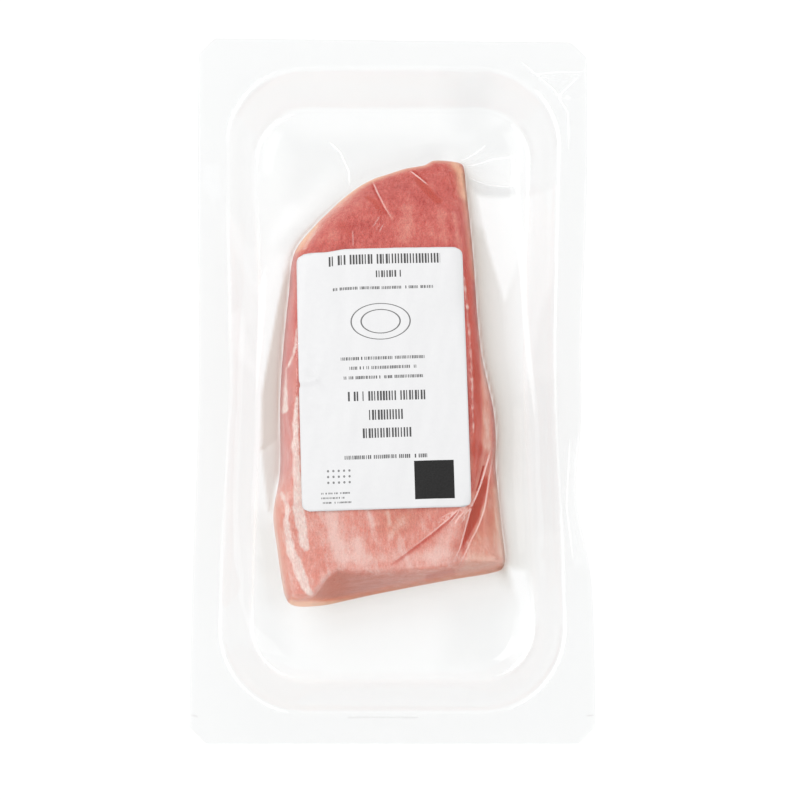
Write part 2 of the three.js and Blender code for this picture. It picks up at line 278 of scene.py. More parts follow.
outline = closed_curve(MEAT_OUTLINE, OUTLINE_STEPS)
tangent = np.roll(outline, -TANGENT_SPAN, axis=0) - np.roll(outline, TANGENT_SPAN, axis=0)
outward = np.stack([tangent[:, 1], -tangent[:, 0]], axis=1)
outward /= np.hypot(*outward.T)[:, None]


# Points that are set against the outline at a time, so that the tables stay small
BATCH = 4000


def outline_place(x, y):
    """Distance in from the meat's outline, minus outside it, and the nearest outline point."""
    flat = np.stack([np.ravel(x), np.ravel(y)], axis=1)
    near = np.empty(len(flat), int)
    for start in range(0, len(flat), BATCH):
        part = flat[start:start + BATCH]
        square = (part[:, :1] - outline[:, 0]) ** 2 + (part[:, 1:] - outline[:, 1]) ** 2
        near[start:start + BATCH] = square.argmin(axis=1)
    away = flat - outline[near]
    distance = np.hypot(*away.T) * np.where((away * outward[near]).sum(axis=1) > 0, -1, 1)
    return distance.reshape(np.shape(x)), near.reshape(np.shape(x))


def meat_height(x, y):
    """Height of the meat's upper side, with its seam, its groove and its low waves."""
    distance, near = outline_place(x, y)
    normal_x, normal_y = outward[near, 0], outward[near, 1]
    shares = {"left": np.maximum(0, -normal_x) ** 2, "right": np.maximum(0, normal_x) ** 2,
              "tip": np.maximum(0, normal_y) ** 2, "butt": np.maximum(0, -normal_y) ** 2}
    widths = {**EDGE_WIDTHS, "butt": np.interp(x, *np.transpose(CUT_FACE_WIDTHS))}
    width = sum(shares[side] * widths[side] for side in shares)
    t = np.clip(distance / width, 0, 1)
    rounded = (1 - (1 - t) ** EDGE_ROUNDNESS) ** (1 / EDGE_ROUNDNESS)
    rise = blend(rounded, 1 - (1 - t) ** CUT_FACE_ROUNDNESS, shares["butt"])
    seam_off, seam_side, _ = path_place(x, y, SEAM)
    opening = smoothstep(-20, -34, y)
    strip = smoothstep(-4.5, 4.5, seam_off * seam_side)
    crown = MEAT_TOP - CROWN_MARGIN - TIP_FALL * smoothstep(46, 104, y)
    crown = crown - END_FALL * smoothstep(-40, -80, y) - SIDE_FALL * (x / 40) ** 2
    crown = crown - STRIP_FALL * opening * strip
    top = MEAT_WIDEST + (crown - MEAT_WIDEST) * rise
    top -= SEAM_DEPTH * opening * bell(seam_off, 0, SEAM_HALF_WIDTH) * rise
    groove_off, _, passed = path_place(x, y, LOBE_GROOVE)
    top -= GROOVE_DEPTH * bell(groove_off, 0, GROOVE_HALF_WIDTH) * rise * smoothstep(0, 0.3, passed)
    inner = smoothstep(0.5, 6, distance)
    top += inner * (0.32 * ripples(x, y, 16, 3, stretch=2.2) + 0.12 * ripples(x, y, 4.5, 5, stretch=5))
    return np.where(distance > 0, top, BELOW_ALL)


# Film

# The light even pull on it, the rounds in which it sinks and how far it goes in each
FILM_PULL = 0.10
SINK_ROUNDS = 500
SINK_STRIDE = 1.88
# Its gap over the tray and the meat and over the flange, and how far inside the rim it is still held
FILM_GAP = 0.25
FLANGE_GAP = 0.12
HELD_INSIDE_RIM = 0.8

# Folds in the film: paths, how bright each one's painted highlight is end to end, how dark its painted
# shade
CREASES = [
    ([(41.7, -26.9), (40.2, -31.5), (38.4, -38.0), (36.6, -43.7), (34.6, -49.1), (32.7, -53.0),
      (31.5, -57.0), (30.3, -61.4), (29.2, -65.5), (28.1, -69.5), (27.3, -71.8), (25.7, -74.5),
      (23.8, -77.0)], (0.7, 0.9, 1.0, 1.0, 0.8, 0.7, 0.7, 0.6), 0.0),
    ([(26.2, -79.0), (27.9, -76.8), (29.4, -73.6), (31.1, -70.2), (32.8, -66.2), (34.3, -63.8),
      (36.2, -59.4), (38.0, -54.1), (38.9, -49.1), (39.7, -44.0), (40.4, -39.3), (41.4, -34.0),
      (41.9, -29.0)], (0.6, 0.5, 0.5, 0.8, 0.8, 0.7, 0.6, 0.5), 0.0),
    ([(33.2, -51.4), (30.4, -53.2), (26.3, -55.5), (22.6, -59.0), (15.8, -64.6), (1.8, -75.0),
      (-4.0, -79.0)], (0.8, 0.7, 0.35, 0.1, 0.05), (0.5, 0.9, 1.0, 1.0, 0.8)),
    ([(31.4, -54.0), (27.5, -57.7), (25.0, -61.5)], 0.6, 0.0),
    ([(30.5, -53.9), (24.0, -56.2), (18.5, -59.0)], 0.35, 0.0),
    ([(-8.8, 88.4), (-6.3, 80.8), (-3.2, 73.6), (0.4, 67.0)], (0.5, 0.7, 0.5, 0.2), -0.8),
    ([(7.4, 92.8), (11.3, 88.7), (15.2, 84.6)], (0.9, 0.9, 0.5), 1.0),
    ([(-5.5, 69.1), (-8.2, 64.3)], 0.35, 0.0), ([(-3.9, 65.5), (-5.5, 61.9)], 0.35, 0.0),
    ([(-16.7, 63.0), (-16.4, 55.0)], 0.35, 0.0), ([(28.8, 98.9), (41.7, 108.9)], 0.7, 0.0),
    ([(30.5, 96.4), (42.9, 101.8), (52.8, 102.9), (52.8, 90)], 0.8, 0.0),
    ([(31.6, 91.5), (41.0, 90.0), (54.7, 89.3)], 0.5, 0.0),
    ([(-28.5, 110.4), (-22.8, 104.8), (-19.2, 96.2), (-18.6, 87.0)], 1.0, 0.0),
    ([(53.7, 140.7), (69.1, 127.0), (75.0, 117.0), (75.3, 98.5)], 0.8, 0.0),
    ([(70.6, 123.9), (79.9, 132.8)], 0.8, 0.0), ([(60.0, 134.0), (83.0, 135.0)], 0.6, 0.0),
    ([(74.5, -22.0), (72.5, -52.0), (75.5, -78.0)], 0.6, 0.0),
    ([(77.0, -26.0), (80.8, -44.0), (79.0, -70.0)], 0.6, 0.0)]
# Fine dark lines in the film: three pressed into the near flange, and one painted shadow line beside the
# seam's fold
SCORED_AND_SHADOW_LINES = [
    [(-20.0, -139.2), (11.0, -139.3)], [(-83.3, -138.2), (-79.0, -139.1)], [(79.5, -138.6), (83.3, -138.4)],
    [(37.8, -36.0), (36.3, -41.9), (34.6, -47.6)]]
# Painted highlights: places where the film hangs free, drawn fully clear to stand in for the lamps'
# reflections on it: corners, how soft the edge is and how clear the place
PAINTED_HIGHLIGHT_PATCHES = [
    ([(36.5, 83.6), (55.0, 84.4), (55.0, 59.1), (48.1, 36.7), (40.5, 61.5)], 1.2, 1.0),
    ([(56.4, 84.0), (69.6, 84.6), (68.6, 45.6), (63.8, 33.6), (56.0, -2.1)], 2.2, 1.0),
    ([(-24.4, 101.3), (-19.2, 93.7), (-18.6, 86.6), (-26.3, 80.0), (-33.8, 72.2), (-44.5, 57.2),
      (-50.3, 35.2), (-54.0, 14.2), (-55.0, 47.3), (-53.0, 68.7), (-46.3, 80.7), (-36.0, 92.7)],
      4.0, 0.9),
    ([(-81.2, 93.4), (-74.1, 94.6), (-72.8, 80.1), (-76.5, 77.7), (-81.0, 85.0)], 1.8, 0.9),
    ([(-71.2, 76.0), (-65.2, 67.5), (-56.6, 39.8), (-59.0, 38.6), (-67.4, 57.8)], 2.0, 0.9),
    ([(-64.0, 62.0), (-58.5, 60.0), (-58.5, 28.0), (-63.0, 24.0)], 2.5, 0.6),
    ([(-69.5, 29.0), (-64.8, 31.4), (-59.9, 12.3), (-56.3, 2.8), (-65.8, 12.3)], 2.0, 0.9),
    ([(74.0, -30.8), (77.6, -24.9), (80.8, -76.9), (75.8, -76.9), (72.5, -59.7)], 1.8, 0.9),
    ([(48.1, -77.0), (56.3, -78.1), (59.2, -93.3), (58.5, -108.4), (52.4, -116.5), (48.9, -114.2),
      (54.3, -103.8), (53.2, -91.0)], 1.8, 1.0)]
# Painted shade on the film: duller, darker places, among them soft shadows near the meat's ends, described
# in the same way
PAINTED_SHADE_PLACES = [
    ([(31.1, 91.7), (53.2, 88.9), (53.7, 85.4), (35.8, 84.5), (32.2, 87.9)], 1.0, 1.0),
    ([(-32.0, 95.4), (-27.6, 96.4), (-23.8, 92.5), (-26.2, 87.1), (-31.5, 87.9)], 4.0, 0.35),
    ([(24.1, 134.2), (42.2, 135.2), (42.0, 110.0), (27.2, 111.5)], 8.0, 0.5),
    ([(-46.0, 112.0), (40.0, 112.0), (44.0, 94.0), (34.0, 94.0), (24.0, 102.0), (-5.0, 98.0),
      (-25.0, 90.0), (-40.0, 80.0), (-46.0, 84.0)], 7.0, 0.5),
    ([(24.0, -92.0), (48.0, -90.0), (48.0, -120.0), (22.0, -118.0)], 8.0, 0.4),
    ([(34.0, 116.0), (50.0, 117.0), (52.0, 104.0), (43.0, 102.5), (34.0, 104.0)], 4.0, 0.5),
    ([(60.0, 2.0), (69.0, 2.0), (69.0, -62.0), (60.0, -62.0)], 4.0, 0.3),
    ([(-57.0, -86.0), (-48.0, -88.0), (-44.0, -112.0), (-55.0, -112.0)], 6.0, 0.4)]
# The shaded strip of hanging film along the meat's left side, and its paler foot
SHADED_TENT = [
    (-46.6, 49.6), (-43.0, 49.6), (-44.6, 34), (-46.8, 8), (-47.6, -14), (-47.8, -24), (-52.0, -26.2),
    (-55.0, -28), (-55.0, -4.7), (-53.6, 4.0), (-48.6, 32.3), (-46.0, 44.0)]
TENT_FOOT = [(-47.6, -24), (-47.7, -38), (-50.4, -55), (-51.6, -54.1), (-53.7, -39.1), (-55.0, -27)]
# The loose corner where the film can be peeled from the flange
PEEL_EDGE = [(57.7, 137.7), (69.1, 127.0), (75.0, 117.0), (75.0, 102.5)]


def relax(height, floor, held, pull):
    """Lets a stretched sheet sink until it hangs between its held edge and what lies below it."""
    row, column = np.indices(height.shape)
    inner = np.zeros(height.shape, bool)
    inner[1:-1, 1:-1] = True
    chequered = [inner & ~held & ((row + column) % 2 == odd) for odd in (0, 1)]
    for _ in range(SINK_ROUNDS):
        for cells in chequered:
            mean = (np.roll(height, 1, 0) + np.roll(height, -1, 0) + np.roll(height, 1, 1)
                    + np.roll(height, -1, 1) - pull) / 4
            height[cells] = np.maximum((blend(height, mean, SINK_STRIDE))[cells], floor[cells])
    return height


def film_field(x, y):
    """The film's height: sunk on to tray and meat, loose at one corner, wavy along the right flange."""
    under = np.maximum(tray_height(x, y), meat_height(x, y)) + FILM_GAP
    held = rounded_distance(x, y, RIM) > -HELD_INSIDE_RIM
    start = np.maximum(under, FLANGE_TOP + FLANGE_GAP)
    start[held] = FLANGE_TOP + FLANGE_GAP
    height = relax(start, under, held, FILM_PULL * FILM_STEP ** 2)
    off, side, _ = path_place(x, y, PEEL_EDGE)
    loose = smoothstep(0, 4, off * side) * smoothstep(95, 110, y) * smoothstep(50, 60, x)
    height += loose * (0.45 + 0.45 * ripples(x, y, 9, 12, stretch=2.0, turn=-0.8))
    wavy = smoothstep(1.0, 4.0, rounded_distance(x, y, RIM)) * smoothstep(20, -20, y)
    wavy = wavy * smoothstep(60, 72, x)
    return height + wavy * (0.35 + 0.35 * ripples(x, y, 22, 14, stretch=1.5))


film_x, film_y = pack_grid(FILM_STEP)
film_z = film_field(film_x, film_y)


def film_height(x, y):
    """The film's height at any place over the well, read between its grid's lines."""
    rows = film_y.shape[1]
    left, right = edge_x("left", y), edge_x("right", y)
    skew = FAR_EDGE_SKEW * (0.5 + x / (2 * HALF_WIDTH)) * smoothstep(0, HALF_LENGTH, y)
    u = np.clip((x - left) / (right - left), 0, 0.9999) * (film_x.shape[0] - 1)
    v = np.clip((y + skew + HALF_LENGTH) / (2 * HALF_LENGTH), 0, 0.9999) * (rows - 1)
    i, j = u.astype(int), v.astype(int)
    fu, fv = u - i, v - j
    low = blend(film_z[i, j], film_z[i + 1, j], fu)
    high = blend(film_z[i, j + 1], film_z[i + 1, j + 1], fu)
    return blend(low, high, fv)


# Mesh helpers

def new_object(name, vertices, faces, material):
    """An object with a smooth mesh of one material; vertices are in millimetres."""
    mesh = bpy.data.meshes.new(name)
    mesh.from_pydata((np.asarray(vertices) * MM).tolist(), [], np.asarray(faces).tolist())
    mesh.validate()
    mesh.update()
    piece = bpy.data.objects.new(name, mesh)
    bpy.context.collection.objects.link(piece)
    mesh.materials.append(material)
    mesh.polygons.foreach_set("use_smooth", [True] * len(mesh.polygons))
    return piece


def grid_faces(columns, rows):
    """The four-cornered faces between the points of a grid."""
    index = np.arange(columns * rows).reshape(columns, rows)
    corners = (index[:-1, :-1], index[1:, :-1], index[1:, 1:], index[:-1, 1:])
    return np.stack(corners, axis=-1).reshape(-1, 4)


def cut_corners(piece):
    """Trims the flange's four corners with flat cuts, so that they are slightly round."""
    shape = bmesh.new()
    shape.from_mesh(piece.data)
    for side_x, side_y, (degrees, back) in itertools.product((-1, 1), (-1, 1), CORNER_CUTS):
        angle = math.radians(degrees)
        normal = (side_x * math.cos(angle), side_y * math.sin(angle), 0)
        corner_y = HALF_LENGTH - (FAR_EDGE_SKEW if side_x > 0 and side_y > 0 else 0)
        reach = (HALF_WIDTH * math.cos(angle) + corner_y * math.sin(angle) - back) * MM
        geometry = shape.verts[:] + shape.edges[:] + shape.faces[:]
        bmesh.ops.bisect_plane(shape, geom=geometry, plane_no=normal, clear_outer=True,
                               plane_co=tuple(reach * part for part in normal))
    shape.to_mesh(piece.data)
    shape.free()


def finish_modifiers(piece):
    """Puts the result of the piece's modifiers in its mesh and removes them."""
    graph = bpy.context.evaluated_depsgraph_get()
    mesh = bpy.data.meshes.new_from_object(piece.evaluated_get(graph), depsgraph=graph)
    piece.modifiers.clear()
    old = piece.data
    piece.data = mesh
    mesh.name = piece.name
    bpy.data.meshes.remove(old)


def thicken(piece, thickness):
    """Gives a sheet its thickness, downwards from the surface it was made on."""
    solid = piece.modifiers.new("sheet", "SOLIDIFY")
    solid.thickness = thickness * MM
    solid.offset = -1.0
    solid.use_even_offset = True
    solid.use_rim = True
    finish_modifiers(piece)


def store(mesh, name, values):
    """Stores a value at each point of a mesh under a name."""
    layer = mesh.attributes.new(name, "FLOAT", "POINT")
    layer.data.foreach_set("value", np.ravel(values).astype(float))


# Materials

class Wire:
    """A shader socket whose sums and products add Math nodes."""

    def __init__(self, finish, socket):
        self.finish = finish
        self.socket = socket

    def __add__(self, other):
        return self.finish.maths("ADD", self, other)

    def __radd__(self, other):
        return self.finish.maths("ADD", other, self)

    def __sub__(self, other):
        return self.finish.maths("SUBTRACT", self, other)

    def __rsub__(self, other):
        return self.finish.maths("SUBTRACT", other, self)

    def __mul__(self, other):
        return self.finish.maths("MULTIPLY", self, other)

    def __rmul__(self, other):
        return self.finish.maths("MULTIPLY", other, self)

    def __truediv__(self, other):
        return self.finish.maths("DIVIDE", self, other)

    def __pow__(self, other):
        return self.finish.maths("POWER", self, other)


class Finish:
    """A material under construction."""

    def __init__(self, name):
        self.material = bpy.data.materials.new(name)
        self.material.use_nodes = True
        self.tree = self.material.node_tree
        self.tree.nodes.clear()
        self.output = self.tree.nodes.new("ShaderNodeOutputMaterial")

    def node(self, kind, settings=None, out=0, **sockets):
        """Adds a node; settings are set first, then each socket gets a value or a link."""
        node = self.tree.nodes.new(kind)
        for key, value in (settings or {}).items():
            if key == "stops":
                ramp = node.color_ramp
                while len(ramp.elements) < len(value):
                    ramp.elements.new(0.5)
                for element, (place, colour) in zip(ramp.elements, value):
                    element.position = place
                    element.color = colour
            else:
                setattr(node, key, value)
        for key, value in sockets.items():
            name = int(key[1:]) if key[1:].isdigit() and key[0] == "i" else key.replace("_", " ")
            socket = node.inputs[name]
            if isinstance(value, Wire):
                self.tree.links.new(value.socket, socket)
            else:
                socket.default_value = value
        return Wire(self, node.outputs[out])

    def maths(self, operation, a, b=0.0, clamp=False):
        return self.node("ShaderNodeMath", {"operation": operation, "use_clamp": clamp}, i0=a, i1=b)

    def ramp_up(self, value, start, end):
        """From 0 to 1 as a value goes from start to end, eased at both."""
        return self.node("ShaderNodeMapRange", {"interpolation_type": "SMOOTHSTEP", "clamp": True},
                         i0=value, i1=start, i2=end, i3=0.0, i4=1.0)

    def mix(self, share, a, b):
        return self.node("ShaderNodeMix", {"data_type": "RGBA"}, out=2, i0=share, i6=a, i7=b)

    def place(self, scale=(1, 1, 1), turn=0.0):
        """Object coordinates in millimetres, turned about the vertical and scaled."""
        coords = self.node("ShaderNodeTexCoord", out=3)
        size = tuple(part / MM for part in scale)
        turned = self.node("ShaderNodeMapping", {"vector_type": "POINT"}, Vector=coords,
                           Rotation=(0, 0, turn), Scale=(1, 1, 1))
        return self.node("ShaderNodeMapping", {"vector_type": "POINT"}, Vector=turned, Scale=size)

    def noise(self, vector, scale, detail=3.0, roughness=0.5):
        return self.node("ShaderNodeTexNoise", Vector=vector, Scale=scale, Detail=detail,
                         Roughness=roughness)

    def attributes(self, *names):
        """The values painted on the piece's points under these names."""
        return [self.node("ShaderNodeAttribute", {"attribute_name": name}, out=2) for name in names]

    def split(self, vector):
        """The three parts of a vector."""
        first = self.node("ShaderNodeSeparateXYZ", Vector=vector)
        return [Wire(self, output) for output in first.socket.node.outputs]

    def toned(self, share, colour, tone):
        """A colour multiplied by a tone, as far as share says."""
        product = self.node("ShaderNodeVectorMath", {"operation": "MULTIPLY"}, i0=colour, i1=tone)
        return self.mix(share, colour, product)

    def tint(self, *colour):
        """What lies behind, seen through a clear layer of this colour."""
        return self.node("ShaderNodeBsdfTransparent", Color=(*colour, 1))

    def lay(self, share, under, over):
        """One shader laid over another, as far as share says."""
        return self.node("ShaderNodeMixShader", i0=share, i1=under, i2=over)

    def bump(self, height, strength, distance, normal=None):
        """Low relief, distance millimetres deep, over an earlier one where normal is given."""
        sockets = {"Height": height, "Strength": strength, "Distance": distance * MM}
        if normal is not None:
            sockets["Normal"] = normal
        return self.node("ShaderNodeBump", **sockets)

    def close(self, shader):
        """Gives the material its shader and hands it over."""
        self.tree.links.new(shader.socket, self.output.inputs["Surface"])
        return self.material


GREY_PLASTIC = (0.62, 0.63, 0.64, 1)
MIRROR_FLAT = 0.014
MIRROR_EDGE = 0.2


def clear_sheet(finish, gloss, haze, through, calm=0.0):
    """A clear plastic sheet: what lies behind shows through it, with its gloss and its greyer edges."""
    facing = finish.node("ShaderNodeLayerWeight", out=1, Blend=0.5)
    shine = finish.node("ShaderNodeBsdfAnisotropic", Color=(1, 1, 1, 1), Roughness=gloss)
    body = finish.node("ShaderNodeBsdfPrincipled", Base_Color=GREY_PLASTIC, Roughness=0.35)
    mirror = (MIRROR_FLAT + MIRROR_EDGE * facing ** 5.0) * (1 - calm)
    return finish.lay(haze * facing ** 4.0 * (1 - calm), finish.lay(mirror, through, shine), body)


def tray_finish():
    """The tray's plastic, whose bends round the rim and the floor catch the light in fine lines."""
    finish = Finish("clear_tray")
    rim, base, power = finish.attributes("rim", "base", "power")
    flank = finish.ramp_up(rim, -3.2, -1.4) * (1 - finish.ramp_up(rim, -1.2, -0.4))
    flank = flank + finish.ramp_up(base, 0.4, 1.2) * (1 - finish.ramp_up(base, 1.4, 3.4))
    wall = finish.ramp_up(base, 0.5, 3.0) * (1 - finish.ramp_up(rim, -3.0, -0.5))
    plain, grey = finish.tint(0.991, 0.996, 0.996), finish.tint(0.955, 0.955, 0.955)
    through = finish.lay(0.8 * power * flank + 0.5 * wall, plain, grey)
    line = 2.0 - finish.ramp_up(finish.maths("ABSOLUTE", rim), 0.1, 1.0)
    line = power * (line - finish.ramp_up(finish.maths("ABSOLUTE", base), 0.1, 1.0))
    # Painted highlight: thin glowing lines along the bends of the rim and the floor, strongest at the
    # corners
    glint = finish.node("ShaderNodeBsdfPrincipled", Base_Color=(0.9, 0.9, 0.9, 1), Roughness=0.3,
                        Emission_Color=(1, 1, 1, 1), Emission_Strength=0.4)
    return finish.close(finish.lay(0.42 * line, clear_sheet(finish, 0.05, 0.20, through), glint))


def film_finish():
    """The film: painted highlights where clearest, painted shade where duller and round the meat, and its
    folds' painted lines.
    """
    finish = Finish("clear_film")
    pocket, dull, cast, halo, skirt = finish.attributes("pocket", "dull", "cast", "halo", "skirt")
    calm, over, crease, power = finish.attributes("calm", "over", "crease", "power")
    shaded, score = finish.attributes("shade", "score")
    # Painted highlight: the film is drawn fully clear where the lamps' reflections are painted
    through = finish.lay(pocket, finish.tint(0.980, 0.979, 0.978), finish.tint(1, 1, 1))
    # Painted shade: the film is greyer where it is duller
    through = finish.lay(dull, through, finish.tint(0.93, 0.93, 0.93))
    # Painted shade round the meat: the halo beside it, the shaded strip at its left and the skirt along its
    # outline
    through = finish.lay(halo, through, finish.tint(0.76, 0.735, 0.70))
    through = finish.lay(cast, through, finish.tint(0.85, 0.805, 0.78))
    through = finish.lay(skirt, through, finish.tint(0.74, 0.60, 0.56))
    line = power * (1 - finish.ramp_up(finish.maths("ABSOLUTE", crease), 0.12, 0.5))
    shade = shaded * finish.ramp_up(crease, 0.2, 0.6) * (1 - finish.ramp_up(crease, 0.8, 2.0))
    pressed_and_shadowed = 1 - finish.ramp_up(finish.maths("ABSOLUTE", score), 0.15, 0.5)
    through = finish.lay(pressed_and_shadowed * (1 - over), through, finish.tint(0.925, 0.92, 0.92))
    # Painted shade: dark red beside the folds and along the painted shadow line over the meat
    through = finish.lay(0.45 * shade + 0.9 * pressed_and_shadowed * over, through, finish.tint(0.86, 0.62, 0.60))
    # Painted highlight: the folds' lines glow a little, pale cream over the meat
    glint = finish.node("ShaderNodeBsdfPrincipled", Roughness=0.3, Emission_Strength=0.35,
                        Base_Color=finish.mix(over, (0.88, 0.88, 0.88, 1), (0.90, 0.77, 0.72, 1)),
                        Emission_Color=finish.mix(over, (1, 1, 1, 1), (1, 0.89, 0.84, 1)))
    return finish.close(finish.lay(0.26 * line, clear_sheet(finish, 0.035, 0.05, through, calm), glint))


class Grain:
    """The noises of the meat: long fibres, finer threads, grain, blotches, wide clouds and fine flecks."""

    def __init__(self, finish):
        def noise(scale, turn, size, detail, roughness):
            return finish.noise(finish.place(scale=scale, turn=turn), size, detail, roughness) - 0.5

        even = (1, 1, 1)
        self.fibres = noise((0.75, 0.10, 0.75), 0.06, 1.0, 4.0, 0.6)
        self.threads = noise((2.2, 0.42, 2.2), -0.1, 1.0, 3.0, 0.6)
        self.grain = noise(even, 0.0, 1.5, 3.0, 0.65)
        self.blotches = noise(even, 0.0, 0.26, 4.0, 0.6)
        self.clouds = noise(even, 0.0, 0.07, 3.0, 0.55)
        self.layers = noise((0.10, 0.8, 0.5), -0.19, 1.0, 4.0, 0.6)
        self.fine = noise((2.0, 0.9, 2.0), -0.12, 1.0, 3.0, 0.7)


def lean_colour(finish, grain):
    """Lean meat: redder or paler with its fibres, deep red where dark, marbled where pale, darkened by
    painted shade.
    """
    pale, dark, peach, even, tan, ruddy = finish.attributes("pale", "dark", "peach", "even", "tan", "ruddy")
    drawn = (0.6 * grain.fibres + 0.32 * grain.threads) * (1 - 0.6 * even) * (1 - 0.3 * pale)
    paleness = pale + drawn + 0.45 * grain.clouds + 0.36 * grain.blotches + 0.17 * grain.grain
    lean = finish.node("ShaderNodeValToRGB", {"stops": (
        (0.0, (0.45, 0.055, 0.045, 1)), (0.25, (0.60, 0.132, 0.11, 1)), (0.55, (0.70, 0.265, 0.21, 1)),
        (1.0, (0.81, 0.52, 0.465, 1)))}, Fac=paleness)
    deep = finish.mix(finish.ramp_up(dark + 0.5 * grain.fibres, 0.2, 0.9), lean, (0.52, 0.075, 0.05, 1))
    deep = finish.mix(finish.ramp_up(dark, 0.95, 1.4), deep, (0.478, 0.075, 0.049, 1))
    vein_place = finish.place(scale=(0.3, 0.09, 0.3), turn=-0.3)
    vein_noise = finish.noise(vein_place, 1.0, detail=4.0) + 0.2 * grain.grain
    veins = finish.ramp_up(vein_noise, 0.48, 0.76) * finish.ramp_up(pale, 0.3, 0.7)
    veins = veins * (1 - finish.ramp_up(dark, 0.3, 1.0))
    marbled = finish.mix(0.6 * veins, deep, (0.82, 0.61, 0.56, 1))
    orange = finish.maths("ADD", peach, peach * grain.blotches, clamp=True)
    # Painted shade: the shade tone darkens the lean on the seam's strip, the right side and the duller lean
    warm_and_shaded = finish.toned(tan, finish.mix(orange, marbled, (0.86, 0.50, 0.33, 1)), (0.90, 0.93, 0.82))
    return finish.toned(ruddy, warm_and_shaded, (1.04, 0.86, 0.72))


def cut_face_colour(finish, grain, leftward):
    """The browned cut end, in layers and browner towards the left."""
    layered = finish.ramp_up(grain.layers + 0.5 * grain.blotches, -0.32, 0.32)
    face = finish.mix(layered, (0.48, 0.165, 0.118, 1), (0.60, 0.29, 0.24, 1))
    face = finish.mix(0.6 * finish.ramp_up(leftward, 12.0, 26.0), face, (0.55, 0.15, 0.085, 1))
    return finish.mix(0.7 * finish.ramp_up(leftward, -4.0, -28.0), face, (0.66, 0.34, 0.26, 1))


def pork_finish():
    """Moist raw pork: lean, a cut end with an orange lower edge, and cream fat."""
    finish = Finish("raw_pork")
    grain = Grain(finish)
    fat, pale, brown, rim = finish.attributes("fat", "pale", "brown", "rim")
    across, along_meat, _ = finish.split(finish.place())
    leftward = 0.0 - across
    cool = 0.45 * finish.ramp_up(leftward, 38.0, 43.0) * finish.ramp_up(along_meat, -50.0, -36.0)
    lean = finish.mix(cool, lean_colour(finish, grain), (0.59, 0.30, 0.305, 1))
    cut = finish.mix(brown, lean, cut_face_colour(finish, grain, leftward))
    crust = finish.mix(finish.ramp_up(rim, 0.45, 0.85), (0.86, 0.27, 0.145, 1), (0.98, 0.56, 0.38, 1))
    edge = finish.mix(finish.maths("ADD", rim * 1.2, rim * 1.5 * grain.blotches, clamp=True), cut, crust)
    cream = finish.mix(finish.ramp_up(grain.threads + grain.blotches, -0.2, 0.25),
                       (0.79, 0.57, 0.52, 1), (0.87, 0.75, 0.69, 1))
    fat_edge = fat + 0.3 * grain.blotches + 0.2 * grain.threads + 0.3 * grain.fibres
    colour = finish.mix(0.92 * finish.ramp_up(fat_edge, 0.31, 0.69), edge, cream)
    flecks = 1.0 + (1.05 - 0.75 * pale) * grain.fine + 0.2 * grain.grain
    colour = finish.node("ShaderNodeVectorMath", {"operation": "SCALE"}, Vector=colour, Scale=flecks)
    normal = finish.bump(grain.grain, 0.35, 0.12)
    normal = finish.bump(grain.threads, 0.5, 0.2, normal=normal)
    normal = finish.bump(grain.fibres, 0.5, 0.4, normal=normal)
    return finish.close(finish.node(
        "ShaderNodeBsdfPrincipled", Base_Color=colour, Roughness=0.38 + 0.5 * grain.blotches, Normal=normal,
        Subsurface_Weight=0.08, Subsurface_Radius=(1.0, 0.35, 0.25), Subsurface_Scale=0.0015,
        Specular_IOR_Level=0.22))


# Plain print on the label, in millimetres from its lower left corner. Rows of strokes: left, right,
# bottom, top and the width of a stroke's place
STROKE_ROWS = [
    (13.5, 60.0, 101.2, 105.4, 1.25), (33.0, 43.5, 95.6, 98.4, 1.1), (15.0, 57.0, 90.7, 91.9, 0.7),
    (17.5, 52.5, 61.9, 63.2, 0.7), (21.0, 49.0, 58.0, 59.3, 0.7), (18.5, 51.5, 54.0, 55.3, 0.7),
    (20.0, 52.0, 44.8, 48.8, 1.2), (28.5, 42.5, 36.8, 41.0, 1.2), (24.5, 46.0, 29.4, 33.4, 1.2),
    (18.0, 52.0, 20.7, 22.3, 0.8), (8.0, 20.0, 6.7, 7.4, 0.6), (8.0, 17.5, 4.8, 5.5, 0.6),
    (8.0, 20.5, 2.9, 3.6, 0.6)]
DARK_SQUARE = (46.5, 62.8, 3.6, 19.4)
OVAL = {"x": 34.5, "y": 77.5, "half_width": 12.5, "half_height": 7.5}
OVAL_RINGS = ((0.955, 1.0), (0.62, 0.67))
DOT_FIELD = (10.0, 21.0, 10.2, 17.2)
DOT_PITCH_ACROSS = 2.2
DOT_PITCH_UP = 2.4
DOT_RADIUS = 0.2121
# How dark the strokes, the rings and the dots are; the square is full black
STROKE_INK = 0.92
OVAL_INK = 0.8
DOT_INK = 0.7


